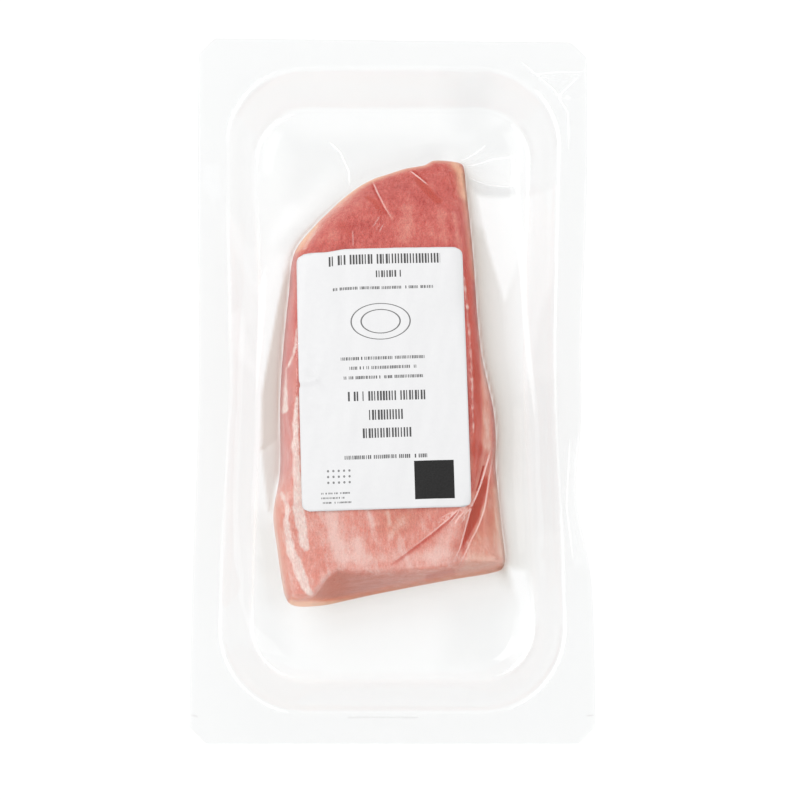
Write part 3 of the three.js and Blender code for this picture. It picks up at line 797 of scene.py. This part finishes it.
def label_ink(finish, across, up):
    """Plain print: rows of strokes, an oval of two rings, a field of dots and a dark square."""
    def between(value, low, high):
        return finish.maths("GREATER_THAN", value, low) * finish.maths("LESS_THAN", value, high)

    def inside(left, right, bottom, top):
        return between(across, left, right) * between(up, bottom, top)

    ink = inside(*DARK_SQUARE)
    for seed, (left, right, bottom, top, place) in enumerate(STROKE_ROWS):
        number = finish.maths("FLOOR", (across - left) / place)
        chance = finish.node("ShaderNodeTexWhiteNoise", {"noise_dimensions": "1D"}, W=number + 100.0 * seed)
        stroke = between((across - left) / place - number, 0.1, 0.45 + 0.45 * chance)
        kept = finish.maths("LESS_THAN", chance, 0.88)
        ink = ink + STROKE_INK * stroke * kept * inside(left, right, bottom, top)
    oval_x = (across - OVAL["x"]) / OVAL["half_width"]
    oval_y = (up - OVAL["y"]) / OVAL["half_height"]
    radius = finish.maths("SQRT", oval_x * oval_x + oval_y * oval_y)
    for inner, outer in OVAL_RINGS:
        ink = ink + OVAL_INK * between(radius, inner, outer)
    left, _, bottom, _ = DOT_FIELD
    dot_x = finish.maths("FRACT", (across - left) / DOT_PITCH_ACROSS) - 0.5
    dot_y = finish.maths("FRACT", (up - bottom) / DOT_PITCH_UP) - 0.5
    dots = finish.maths("LESS_THAN", dot_x * dot_x + dot_y * dot_y, DOT_RADIUS ** 2)
    ink = ink + DOT_INK * dots * inside(*DOT_FIELD)
    return finish.maths("MINIMUM", ink, 1.0)


def label_finish():
    """Slightly rough pale paper with its print."""
    finish = Finish("label_paper")
    across, up, _ = finish.split(finish.node("ShaderNodeUVMap", {"uv_map": "label"}))
    ink = label_ink(finish, across * LABEL["width"], up * LABEL["length"])
    speckle = finish.noise(finish.place(), 1.6, detail=4.0)
    worn = ink * (0.985 + 0.03 * (speckle - 0.5))
    cloudy = finish.noise(finish.place(), 0.5, detail=3.0)
    paper = finish.mix(cloudy, (0.735, 0.735, 0.745, 1), (0.765, 0.765, 0.768, 1))
    colour = finish.mix(worn, paper, (0.010, 0.0095, 0.0095, 1))
    normal = finish.bump(finish.noise(finish.place(), 3.0, detail=3.0), 0.25, 0.05)
    return finish.close(finish.node(
        "ShaderNodeBsdfPrincipled", Base_Color=colour, Roughness=0.5, Normal=normal,
        Specular_IOR_Level=0.15))


# Pieces

# How far the shade round the meat reaches, in the film beside it and along its outline
HALO_REACH = 9.0
TIP_HALO_REACH = 3.0
END_HALO_REACH = 7.0
RIGHT_SKIRT_REACH = 1.0
LEFT_SKIRT_REACH = 1.3
# How dull the film is on the flange, and how far its gloss is calmed over the meat's steep edge
FLANGE_DULLNESS = 0.42
CALM = 0.85


def make_tray():
    """The tray, with how near each point is to the rim and the floor and how the bends catch the light."""
    x, y = pack_grid(TRAY_STEP)
    vertices = np.stack([x, y, tray_height(x, y)], axis=-1).reshape(-1, 3)
    tray = new_object("formed_tray", vertices, grid_faces(*x.shape), CLEAR_TRAY)
    corner = smoothstep(40, 58, np.abs(x)) * smoothstep(92, 108, np.abs(y))
    side = smoothstep(40, 52, np.abs(x)) * (0.5 + 0.3 * ripples(x, y, 70, 8))
    broken = smoothstep(-0.5, 0.7, ripples(x, y, 44, 9))
    store(tray.data, "rim", rounded_distance(x, y, RIM))
    store(tray.data, "base", rounded_distance(x, y, FLOOR))
    store(tray.data, "power", np.clip((corner + 0.5 * side) * broken, 0.03, 1))
    cut_corners(tray)
    thicken(tray, TRAY_SHEET)
    return tray


def film_shade(x, y, distance, near):
    """The film's shade round the meat: a wide halo beside it and a narrow skirt along its outline."""
    off = np.maximum(-distance, 0)
    rightward, forward = outward[near, 0], -outward[near, 1]
    right = smoothstep(0.1, 0.6, rightward) * smoothstep(-92, -76, y) * smoothstep(104, 88, y)
    left = smoothstep(-0.1, -0.6, rightward)
    reach = blend(HALO_REACH, TIP_HALO_REACH, smoothstep(62, 72, y))
    halo = right * np.exp(-off / reach) * smoothstep(20, 8, off) * (0.8 - 0.3 * smoothstep(-30, -52, y))
    halo += 0.35 * smoothstep(0.3, 0.8, forward) * np.exp(-off / END_HALO_REACH) * smoothstep(-40, -20, x)
    halo += 0.22 * left * smoothstep(-46, -66, y) * smoothstep(-104, -76, y) * smoothstep(12, 4, off)
    skirt = (0.6 - 0.25 * smoothstep(10, 60, y)) * right * np.exp(-off / RIGHT_SKIRT_REACH)
    skirt += 0.5 * left * smoothstep(92, 60, y) * np.exp(-off / LEFT_SKIRT_REACH) * smoothstep(-46, -36, y)
    return halo, skirt


def make_film():
    """The film, with all that its finish reads from its points."""
    x, y = film_x, film_y
    vertices = np.stack([x, y, film_z + FILM_SHEET], axis=-1).reshape(-1, 3)
    film = new_object("drawn_film", vertices, grid_faces(*x.shape), CLEAR_FILM)
    crease, power, shade = nearest_line(x, y, CREASES)
    score, pressed_and_shadowed, _ = nearest_line(x, y, [(path, 1.0, 0.0) for path in SCORED_AND_SHADOW_LINES])
    distance, near = outline_place(x, y)
    tent = patch(x, y, SHADED_TENT, 0.9) * smoothstep(51, 42, y) + 0.75 * patch(x, y, TENT_FOOT, 1.0)
    halo, skirt = film_shade(x, y, distance, near)
    beside = smoothstep(1.3, -0.1, distance)
    # Painted shade: a greyer fringe of film beside the meat's upper left outline, where the painted
    # highlight is left out
    upper_left = smoothstep(26, 18, x) * smoothstep(52, 64, y)
    fringe = upper_left * smoothstep(13, 1, np.maximum(-distance, 0)) * beside
    pocket = union(x, y, PAINTED_HIGHLIGHT_PATCHES) * (1 - fringe)
    flange = FLANGE_DULLNESS * smoothstep(-2, 1, rounded_distance(x, y, RIM))
    near_outline = smoothstep(-5, -1, distance) * smoothstep(9, 4, distance)
    painted = {
        "pocket": pocket,
        # Painted shade places, the flange's duller film and the painted shade of the fringe
        "dull": np.clip(union(x, y, PAINTED_SHADE_PLACES) + flange + 0.7 * fringe, 0, 1),
        "cast": tent,
        "halo": halo * (1 - pocket) * (1 - tent) * beside,
        "skirt": skirt * beside,
        "over": smoothstep(-1.0, 1.0, distance),
        "calm": CALM * np.maximum(near_outline, patch(x, y, SEAM_GAP, 1.0)),
        "crease": crease * np.where(shade < 0, -1, 1),
        "power": power,
        "shade": np.abs(shade) * smoothstep(0, 1.5, distance),
        "score": score + FAR_OFF * np.sign(score) * (pressed_and_shadowed < FAINTEST)}
    for name, values in painted.items():
        store(film.data, name, values)
    cut_corners(film)
    thicken(film, FILM_SHEET)
    return film


# The meat's rings: their insets on top, how near they come to the middle, and how far its side tucks in
TOP_INSETS = np.concatenate([[0, 0.2, 0.5, 0.9, 1.4], np.arange(2, 14, 0.7), np.arange(14, 46, 1.0)])
MIDDLE_SHARE = 0.985
SIDE_TUCK = 3.2


def spoke_starts():
    """For each point of the outline, the point of the meat's middle line that its spoke starts from."""
    near, far = np.array(AXIS_ENDS)
    share = np.clip((outline[:, 1] - near[1]) / (far[1] - near[1]), 0, 1)
    return blend(near, far, share[:, None])


def meat_rings():
    """Rings of points from the middle of the meat's top, out to its outline and in again underneath."""
    step = 2
    rim = outline[::step]
    start = spoke_starts()[::step]
    reach = np.hypot(*(rim - start).T)
    direction = (rim - start) / reach[:, None]

    def ring(inset, height):
        place = start + direction * (reach - inset)[:, None]
        if height is None:
            height = meat_height(place[:, 0], place[:, 1])
        return np.column_stack([place, np.broadcast_to(height, len(place))])

    rings = []
    even = smoothstep(0, TOP_INSETS[-1], TOP_INSETS)
    for inset, share in zip(TOP_INSETS[::-1], even[::-1]):
        full = blend(inset, MIDDLE_SHARE * reach * inset / TOP_INSETS[-1], share)
        rings.append(ring(full, MEAT_WIDEST if inset == 0 else None))
    for turn in np.linspace(0.12, 1, 9):
        angle = turn * math.pi / 2
        inward = np.full(len(rim), SIDE_TUCK * (1 - math.cos(angle)))
        rings.append(ring(inward, MEAT_WIDEST - (MEAT_WIDEST - MEAT_REST) * math.sin(angle)))
    for share in (0.08, 0.3, 0.6, 0.9, MIDDLE_SHARE):
        rings.append(ring(SIDE_TUCK + (reach - SIDE_TUCK) * share, MEAT_REST))
    return rings


def make_meat():
    """The meat: one closed skin over its rings, with the colours' places painted on it."""
    rings = meat_rings()
    vertices = np.concatenate(rings)
    index = np.arange(len(vertices)).reshape(len(rings), -1)
    a, b = index[:-1], index[1:]
    faces = np.stack([a, b, np.roll(b, -1, 1), np.roll(a, -1, 1)], axis=-1).reshape(-1, 4).tolist()
    faces += [list(index[0]), list(index[-1][::-1])]
    mesh = bpy.data.meshes.new("pork_tenderloin")
    mesh.from_pydata((vertices * MM).tolist(), [], faces)
    shape = bmesh.new()
    shape.from_mesh(mesh)
    bmesh.ops.triangulate(shape, faces=[face for face in shape.faces if len(face.verts) > 4])
    shape.to_mesh(mesh)
    shape.free()
    mesh.polygons.foreach_set("use_smooth", [True] * len(mesh.polygons))
    meat = bpy.data.objects.new("pork_tenderloin", mesh)
    bpy.context.collection.objects.link(meat)
    mesh.materials.append(RAW_PORK)
    paint_meat(mesh)
    return meat


# Streaks of fat: their paths and their widths from end to end
FAT_STREAKS = [
    ([(-45.9, -47.5), (-43.1, -53.1), (-43.7, -59.5), (-42.8, -66.0), (-41.8, -71.9), (-39.4, -75.8),
      (-37.8, -81.0), (-36.0, -85.4), (-34.0, -88.6)], (1.2, 2.0, 2.2, 3.0, 4.2, 4.2, 2.6)),
    ([(-39.3, -8.4), (-39.9, -17.8), (-39.9, -31.3), (-39.2, -42.1), (-38.8, -50.6), (-37.5, -59.6),
      (-36.6, -66.1), (-35.4, -70.6)], (0.8, 2.4, 2.8, 3.0, 4.2, 4.6, 3.0)),
    ([(-44.3, 4.6), (-44.5, -3.5), (-44.6, -12.4)], (0.4, 1.6, 2.8)),
    ([(-39.8, 20.3), (-40.2, 13.5), (-41.1, 9.4), (-43.5, 5.0)], (0.8, 1.4, 1.0, 0.8))]
# How softly fat ends at its edges
FAT_SOFTNESS = 3.0
# The beaded line of fat along the right side
FAT_BEADS = [(29.9, 42.7), (31.0, 31.4), (32.3, 15.1), (33.0, -2.3), (33.3, -22.9)]
BEAD_COUNT = 17
# Pale streaks, darker streaks and orange tints: their paths, half widths and strengths
PALE_STREAKS = [
    ([(-25.4, -55.2), (-24.1, -62.9), (-21.4, -73.6)], 3.0, 0.40),
    ([(-10.3, -55.5), (-7.7, -61.0)], 1.3, 0.35), ([(5.0, -57.7), (-0.6, -65.6)], 1.5, 0.22),
    ([(-14.3, -68.4), (-12.9, -75.6)], 2.6, 0.40),
    ([(26.0, -57.7), (23.0, -66.2), (17.7, -73.4)], 3.4, 0.32),
    ([(26.1, 70.8), (27.1, 62.0), (28.1, 54.2)], 1.2, 0.22), ([(-2.0, -56.0), (-1.0, -61.0)], 0.9, 0.3),
    ([(34.5, 25.0), (37.2, 8.0), (38.8, -8.0), (39.0, -22.0), (38.6, -28.0)], 2.0, 0.48),
    ([(42.6, -46.0), (44.0, -60.0), (45.0, -72.0)], 1.7, 0.28),
    ([(-32.4, 66.5), (-34.6, 61.0), (-36.8, 55.5)], 1.0, 0.55),
    ([(-27.0, 65.0), (-17.0, 75.0)], 5.0, 0.10), ([(-45.2, 33.0), (-46.5, 12.0)], 0.9, 0.4),
    ([(8.0, 76.0), (5.0, 58.0)], 2.5, 0.16), ([(20.0, 72.0), (22.0, 58.0)], 2.0, 0.16),
    ([(-20.0, -75.0), (10.0, -74.5), (26.0, -73.0)], 2.2, 0.22),
    ([(-3.8, 76.0), (-0.4, 68.5)], 1.2, 0.16)]
# The deep red gap between the two long folds of film over the seam
SEAM_GAP = [
    (40.6, -33.0), (38.3, -38.0), (36.5, -43.7), (34.7, -49.1), (32.7, -53.0), (31.5, -57.0),
    (30.3, -61.4), (29.2, -65.5), (28.1, -69.5), (27.5, -71.8), (28.6, -71.8), (29.8, -69.5),
    (31.6, -65.5), (33.8, -61.4), (35.8, -57.0), (37.0, -53.0), (38.0, -49.1), (39.2, -43.7),
    (40.2, -38.0)]
# The duller lean between the label and the long fold, where painted shade darkens it
DULL_LEAN = [(-6.0, -52.0), (18.0, -52.0), (12.0, -58.5), (2.0, -66.0), (-6.0, -64.0)]
DARK_STREAKS = [
    ([(-10.9, 78.8), (-7.7, 76.6), (-4.9, 71.2)], 1.8, 0.75),
    ([(10.7, 87.5), (13.9, 82.9), (19.2, 76.8)], 1.7, 1.15), ([(-22.0, 66.0), (-18.0, 61.0)], 3.0, 0.5),
    ([(-18.2, -61.6), (-16.9, -70.7)], 1.8, 0.35),
    ([(27.0, -56.0), (13.8, -67.3), (1.4, -76.3)], 2.4, 0.45),
    ([(-42.0, -4.0), (-42.3, -20.0)], 1.1, 0.5),
    ([(31.8, 66.0), (33.4, 40.0), (34.4, 24.0), (35.0, 0.0), (34.8, -30.0)], 2.5, 0.75),
    ([(31.6, 62.0), (33.4, 40.0), (34.2, 20.0), (34.6, 0.0)], 1.8, 0.45),
    ([(15.0, -82.0), (20.0, -80.8), (25.0, -79.6)], 1.6, 1.0),
    ([(35.0, -30.0), (34.4, -38.0), (32.5, -46.0)], 2.4, 0.7), ([(30.7, 41.0), (31.1, 34.0)], 0.7, 0.9),
    ([(31.2, 28.5), (31.8, 24.0)], 0.7, 0.9), ([(-46.2, -54.0), (-43.9, -80.0)], 1.2, 0.3),
    ([(-3.0, 86.0), (2.0, 79.0)], 3.0, 0.3), ([(22.0, 88.0), (25.0, 74.0)], 3.0, 0.35)]
PEACH_TINTS = [
    ([(-33.5, 67.0), (-36.6, 61.5), (-39.8, 56.0)], 1.9, 0.95),
    ([(-24.0, 78.0), (-17.0, 85.0)], 2.2, 0.55),
    ([(-49.6, -50.0), (-48.4, -62.0), (-46.6, -76.0), (-45.0, -88.0)], 3.0, 0.22),
    ([(-14.0, 86.6), (-5.0, 91.0)], 1.4, 0.45), ([(27.0, 96.0), (29.5, 91.0), (30.6, 82.0)], 2.4, 0.8),
    ([(31.0, 80.0), (33.0, 60.0), (34.6, 45.0)], 1.6, 0.35)]


def fat_share(x, y):
    """Streaks of fat of uneven width, and the beaded line."""
    fat = np.zeros_like(x)
    for path, widths in FAT_STREAKS:
        off, _, passed = path_place(x, y, path)
        width = along(widths, passed) * (1 + 0.22 * ripples(x, y, 8, 21))
        fat = np.maximum(fat, np.clip(0.5 + (width / 2 - off) / FAT_SOFTNESS, 0, 1))
    off, _, passed = path_place(x, y, FAT_BEADS)
    beads = 0.9 * (0.55 + 0.45 * np.sin(passed * 2 * math.pi * BEAD_COUNT))
    beads = beads * (0.6 + 0.4 * ripples(x, y, 6, 4))
    return np.maximum(fat, np.clip(0.5 + (beads / 2 - off) / FAT_SOFTNESS, 0, 1))


def lean_paleness(x, y, distance, near, strip, dull):
    """How pale the lean is: paler towards the cut end, along most edges and in streaks."""
    left, right = np.maximum(0, -outward[near, 0]) ** 2, np.maximum(0, outward[near, 0]) ** 2
    pale = 0.20 + 0.42 * smoothstep(30, -70, y) + 0.16 * smoothstep(-34, -42, x) * smoothstep(60, 40, y)
    pale += soft_streaks(x, y, PALE_STREAKS) - 0.12 * smoothstep(5, 30, x) * smoothstep(20, -20, y)
    pale -= 0.14 * smoothstep(-30, -44, x) * smoothstep(-40, -56, y)
    pale += 0.45 * smoothstep(2.2, 0.4, distance) * left * smoothstep(-38, -52, y)
    kept_red = left * smoothstep(-46, -38, y) * smoothstep(56, 46, y)
    kept_red += 0.7 * right * smoothstep(-50, -38, y)
    pale += 0.35 * smoothstep(2.0, 0.3, distance) * (1 - kept_red)
    pale += 0.28 * smoothstep(8, 2, distance) * smoothstep(0, -20, x) * smoothstep(50, 62, y)
    pale += 0.20 * smoothstep(4.5, 1.0, distance) * np.maximum(0, outward[near, 1]) ** 2
    return pale + 0.25 * strip * smoothstep(-60, -76, y) - 0.09 * dull


def cut_end(x, y, distance, near):
    """How browned the cut end is, how near its orange lower edge, and how pale the ridge above it."""
    facing_near = smoothstep(0.5, 0.85, -outward[near, 1])
    ridge = np.interp(x, *np.transpose(CUT_FACE_WIDTHS)) - 1.3 + 1.4 * smoothstep(-8, 4, x)
    softness = 0.4 + 0.9 * smoothstep(-24, -10, x)
    uneven = distance + 0.4 * ripples(x, y, 5, 17)
    brown = facing_near * smoothstep(ridge + softness, ridge - 1.0 - softness, uneven)
    brown *= 0.55 + 0.35 * smoothstep(8, -16, x)
    rim = smoothstep(2.6 + 1.6 * smoothstep(-22, -34, x), 0.3, distance) * facing_near
    rim *= 0.6 + 0.4 * smoothstep(-10, -34, x)
    return brown, rim, 0.15 * facing_near * bell(distance, ridge + 1.0, 1.3)


def paint_meat(mesh):
    """Stores how fat, pale, dark, orange and browned each point of the meat is, and its tone."""
    points = np.empty(len(mesh.vertices) * 3)
    mesh.vertices.foreach_get("co", points)
    x, y = points.reshape(-1, 3).T[:2] / MM
    distance, near = outline_place(x, y)
    seam_off, seam_side, _ = path_place(x, y, SEAM)
    strip = smoothstep(0.5, 4.0, seam_off * seam_side) * smoothstep(-28, -40, y)
    dull = patch(x, y, DULL_LEAN, 3.0)
    brown, rim, ridge_paleness = cut_end(x, y, distance, near)
    gap = patch(x, y, SEAM_GAP, 0.9) * smoothstep(-36, -46, y) * smoothstep(-75, -65, y)
    dark = np.clip(soft_streaks(x, y, DARK_STREAKS), 0, 1.15) + 1.5 * gap
    leftmost, backward = np.maximum(0, -outward[near, 0]) ** 2, np.maximum(0, outward[near, 1]) ** 2
    dark += 0.35 * bell(distance, 0.8, 0.9) * leftmost * smoothstep(-44, -36, y) * smoothstep(52, 44, y)
    tip_peach = 0.55 * smoothstep(3.6, 0.8, distance) * backward * smoothstep(30, 10, x)
    right_side = smoothstep(27, 34, x)
    # Painted shade on the lean: the seam's strip, the right side and, half as strong, the duller lean
    shade_tones = [0.6 * right_side * smoothstep(14, 0, y), strip * (1 - 0.6 * smoothstep(-60, -76, y)),
            0.5 * dull]
    painted = {
        "fat": fat_share(x, y),
        "pale": np.clip(lean_paleness(x, y, distance, near, strip, dull) + ridge_paleness, 0, 1),
        "dark": np.clip(dark, 0, 1.5),
        "peach": np.clip(soft_streaks(x, y, PEACH_TINTS) + tip_peach, 0, 1),
        "brown": brown,
        "even": strip,
        "tan": np.max(shade_tones, axis=0),
        "ruddy": right_side * smoothstep(70, 45, y) * smoothstep(4, 24, y),
        "rim": 0.9 * rim}
    for name, values in painted.items():
        store(mesh, name, values)


# The label's grid, its gap over the film, how far its upper edge rises right of its left corner, and
# the dent in its left edge
LABEL_GRID = (71, 109)
LABEL_GAP = 0.12
UPPER_EDGE_RISE = 1.1
EDGE_DENT = 0.55
# Folds in the label: their paths, half widths and heights
LABEL_FOLDS = [
    ([(-39.7, -2.2), (-34.0, -2.6), (-29.0, -0.4)], 0.8, 0.7),
    ([(-37.5, 3.4), (-32.0, -0.8), (-27.0, -7.6)], 1.0, 0.7),
    ([(-36.0, 9.0), (-31.0, 4.0), (-29.5, -2.0)], 1.2, 0.5),
    ([(-33.0, -10.0), (-28.0, -12.0), (-24.5, -18.0)], 1.5, 0.5),
    ([(-38.5, -12.0), (-34.0, -20.0)], 1.5, 0.30)]


def label_relief(x, y):
    """The label's own relief over the film: a light waviness and its folds."""
    height = 0.14 * (1 + ripples(x, y, 24, 31)) + 0.06 * (1 + ripples(x, y, 9, 32))
    for path, half_width, rise in LABEL_FOLDS:
        off, _, passed = path_place(x, y, path)
        fade = smoothstep(0, 0.3, passed + 0.2) * smoothstep(1, 0.6, passed)
        height = height + rise * bell(off, 0, half_width) * fade
    return height


def make_label():
    """The label: a sheet with round corners on the film, and its flat places as its own map."""
    half_width, half_length, corner = LABEL["width"] / 2, LABEL["length"] / 2, LABEL["corner"]
    columns, rows = LABEL_GRID
    across, up = np.linspace(-1, 1, columns), np.linspace(-half_length, half_length, rows)
    s, t = np.meshgrid(across, up, indexing="ij")
    into = np.maximum(np.abs(t) - (half_length - corner), 0)
    right_of_corner = smoothstep(-0.75, -0.4, s) * (1 - 0.25 * s)
    t_stretched = t + UPPER_EDGE_RISE * smoothstep(0, half_length, t) * right_of_corner
    s = s * (half_width - (corner - np.sqrt(np.maximum(corner ** 2 - into ** 2, 0))))
    turn = math.radians(LABEL["turn"])
    x = LABEL["x"] + s * math.cos(turn) - t_stretched * math.sin(turn)
    y = LABEL["y"] + s * math.sin(turn) + t_stretched * math.cos(turn)
    x += EDGE_DENT * bell(t, -1.6, 1.1) * smoothstep(-0.93, -1.0, s / half_width)
    z = film_height(x, y) + FILM_SHEET + LABEL_SHEET + LABEL_GAP + label_relief(x, y)
    vertices = np.stack([x, y, z], axis=-1).reshape(-1, 3)
    label = new_object("paper_label", vertices, grid_faces(*x.shape), LABEL_PAPER)
    layer = label.data.uv_layers.new(name="label")
    flat = np.stack([s / LABEL["width"] + 0.5, t / LABEL["length"] + 0.5], axis=-1).reshape(-1, 2)
    corners = np.empty(len(label.data.loops), int)
    label.data.loops.foreach_get("vertex_index", corners)
    layer.data.foreach_set("uv", flat[corners].ravel())
    thicken(label, LABEL_SHEET)
    return label


# Setting

FLOOR_GLOW = 0.795
DAYLIGHT = 0.89


def make_floor():
    """A pale floor lit from below as well, so that nothing on it throws a hard shadow."""
    bpy.ops.mesh.primitive_plane_add(size=6)
    floor = bpy.context.object
    floor.name = "floor"
    finish = Finish("pale_floor")
    floor.data.materials.append(finish.close(finish.node(
        "ShaderNodeBsdfPrincipled", Base_Color=(0.24, 0.24, 0.24, 1), Roughness=0.8, Specular_IOR_Level=0.0,
        Emission_Color=(1, 1, 1, 1), Emission_Strength=FLOOR_GLOW)))


def area_light(name, place, size, power):
    """A square lamp that faces the pack."""
    lamp = bpy.data.lights.new(name, "AREA")
    lamp.size = size
    lamp.energy = power
    light = bpy.data.objects.new(name, lamp)
    bpy.context.collection.objects.link(light)
    light.location = place
    aim(light, (0, 0, 0))


def aim(thing, target):
    """Turns a lamp or a camera to face a place."""
    direction = Vector(target) - Vector(thing.location)
    thing.rotation_euler = direction.to_track_quat("-Z", "Y").to_euler()


def make_lights():
    """Even daylight from all round, a lamp at the far left and one at each side."""
    world = bpy.data.worlds.new("studio")
    bpy.context.scene.world = world
    world.use_nodes = True
    background = world.node_tree.nodes["Background"]
    background.inputs["Color"].default_value = (1, 1, 1, 1)
    background.inputs["Strength"].default_value = DAYLIGHT
    area_light("key", (-0.9, 0.7, 1.1), 0.8, 5.5)
    area_light("left_fill", (-1.1, 0, 0.9), 0.9, 2.8)
    area_light("right_fill", (1.1, 0, 0.9), 0.9, 2.8)


# The photograph's view: its elevation, the camera's distance and the picture's middle, in metres
VIEW_ELEVATION = math.radians(81.75)
VIEW_DISTANCE = 0.9
VIEW_TARGET = (0.00315, -0.0074, 0.022)
SENSOR = 36.0
LENS = SENSOR * 2143 / 800


def make_camera():
    """A camera that sees the pack as the photograph does."""
    data = bpy.data.cameras.new("camera")
    data.lens = LENS
    data.sensor_width = SENSOR
    camera = bpy.data.objects.new("camera", data)
    bpy.context.collection.objects.link(camera)
    x, y, z = VIEW_TARGET
    camera.location = (x, y - VIEW_DISTANCE * math.cos(VIEW_ELEVATION),
                       z + VIEW_DISTANCE * math.sin(VIEW_ELEVATION))
    aim(camera, VIEW_TARGET)
    bpy.context.scene.camera = camera


CLEAR_TRAY = tray_finish()
CLEAR_FILM = film_finish()
RAW_PORK = pork_finish()
LABEL_PAPER = label_finish()

PIECES = {"tray": (make_tray, "clear_tray"), "meat": (make_meat, "raw_meat"),
          "film": (make_film, "clear_film"), "label": (make_label, "label_paper")}
for node, (make, slot) in PIECES.items():
    piece = make()
    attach(piece, "root")
    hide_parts(node)

make_floor()
make_lights()
make_camera()
bpy.context.scene.view_settings.view_transform = "Standard"
bpy.context.scene.cycles.transparent_max_bounces = 32
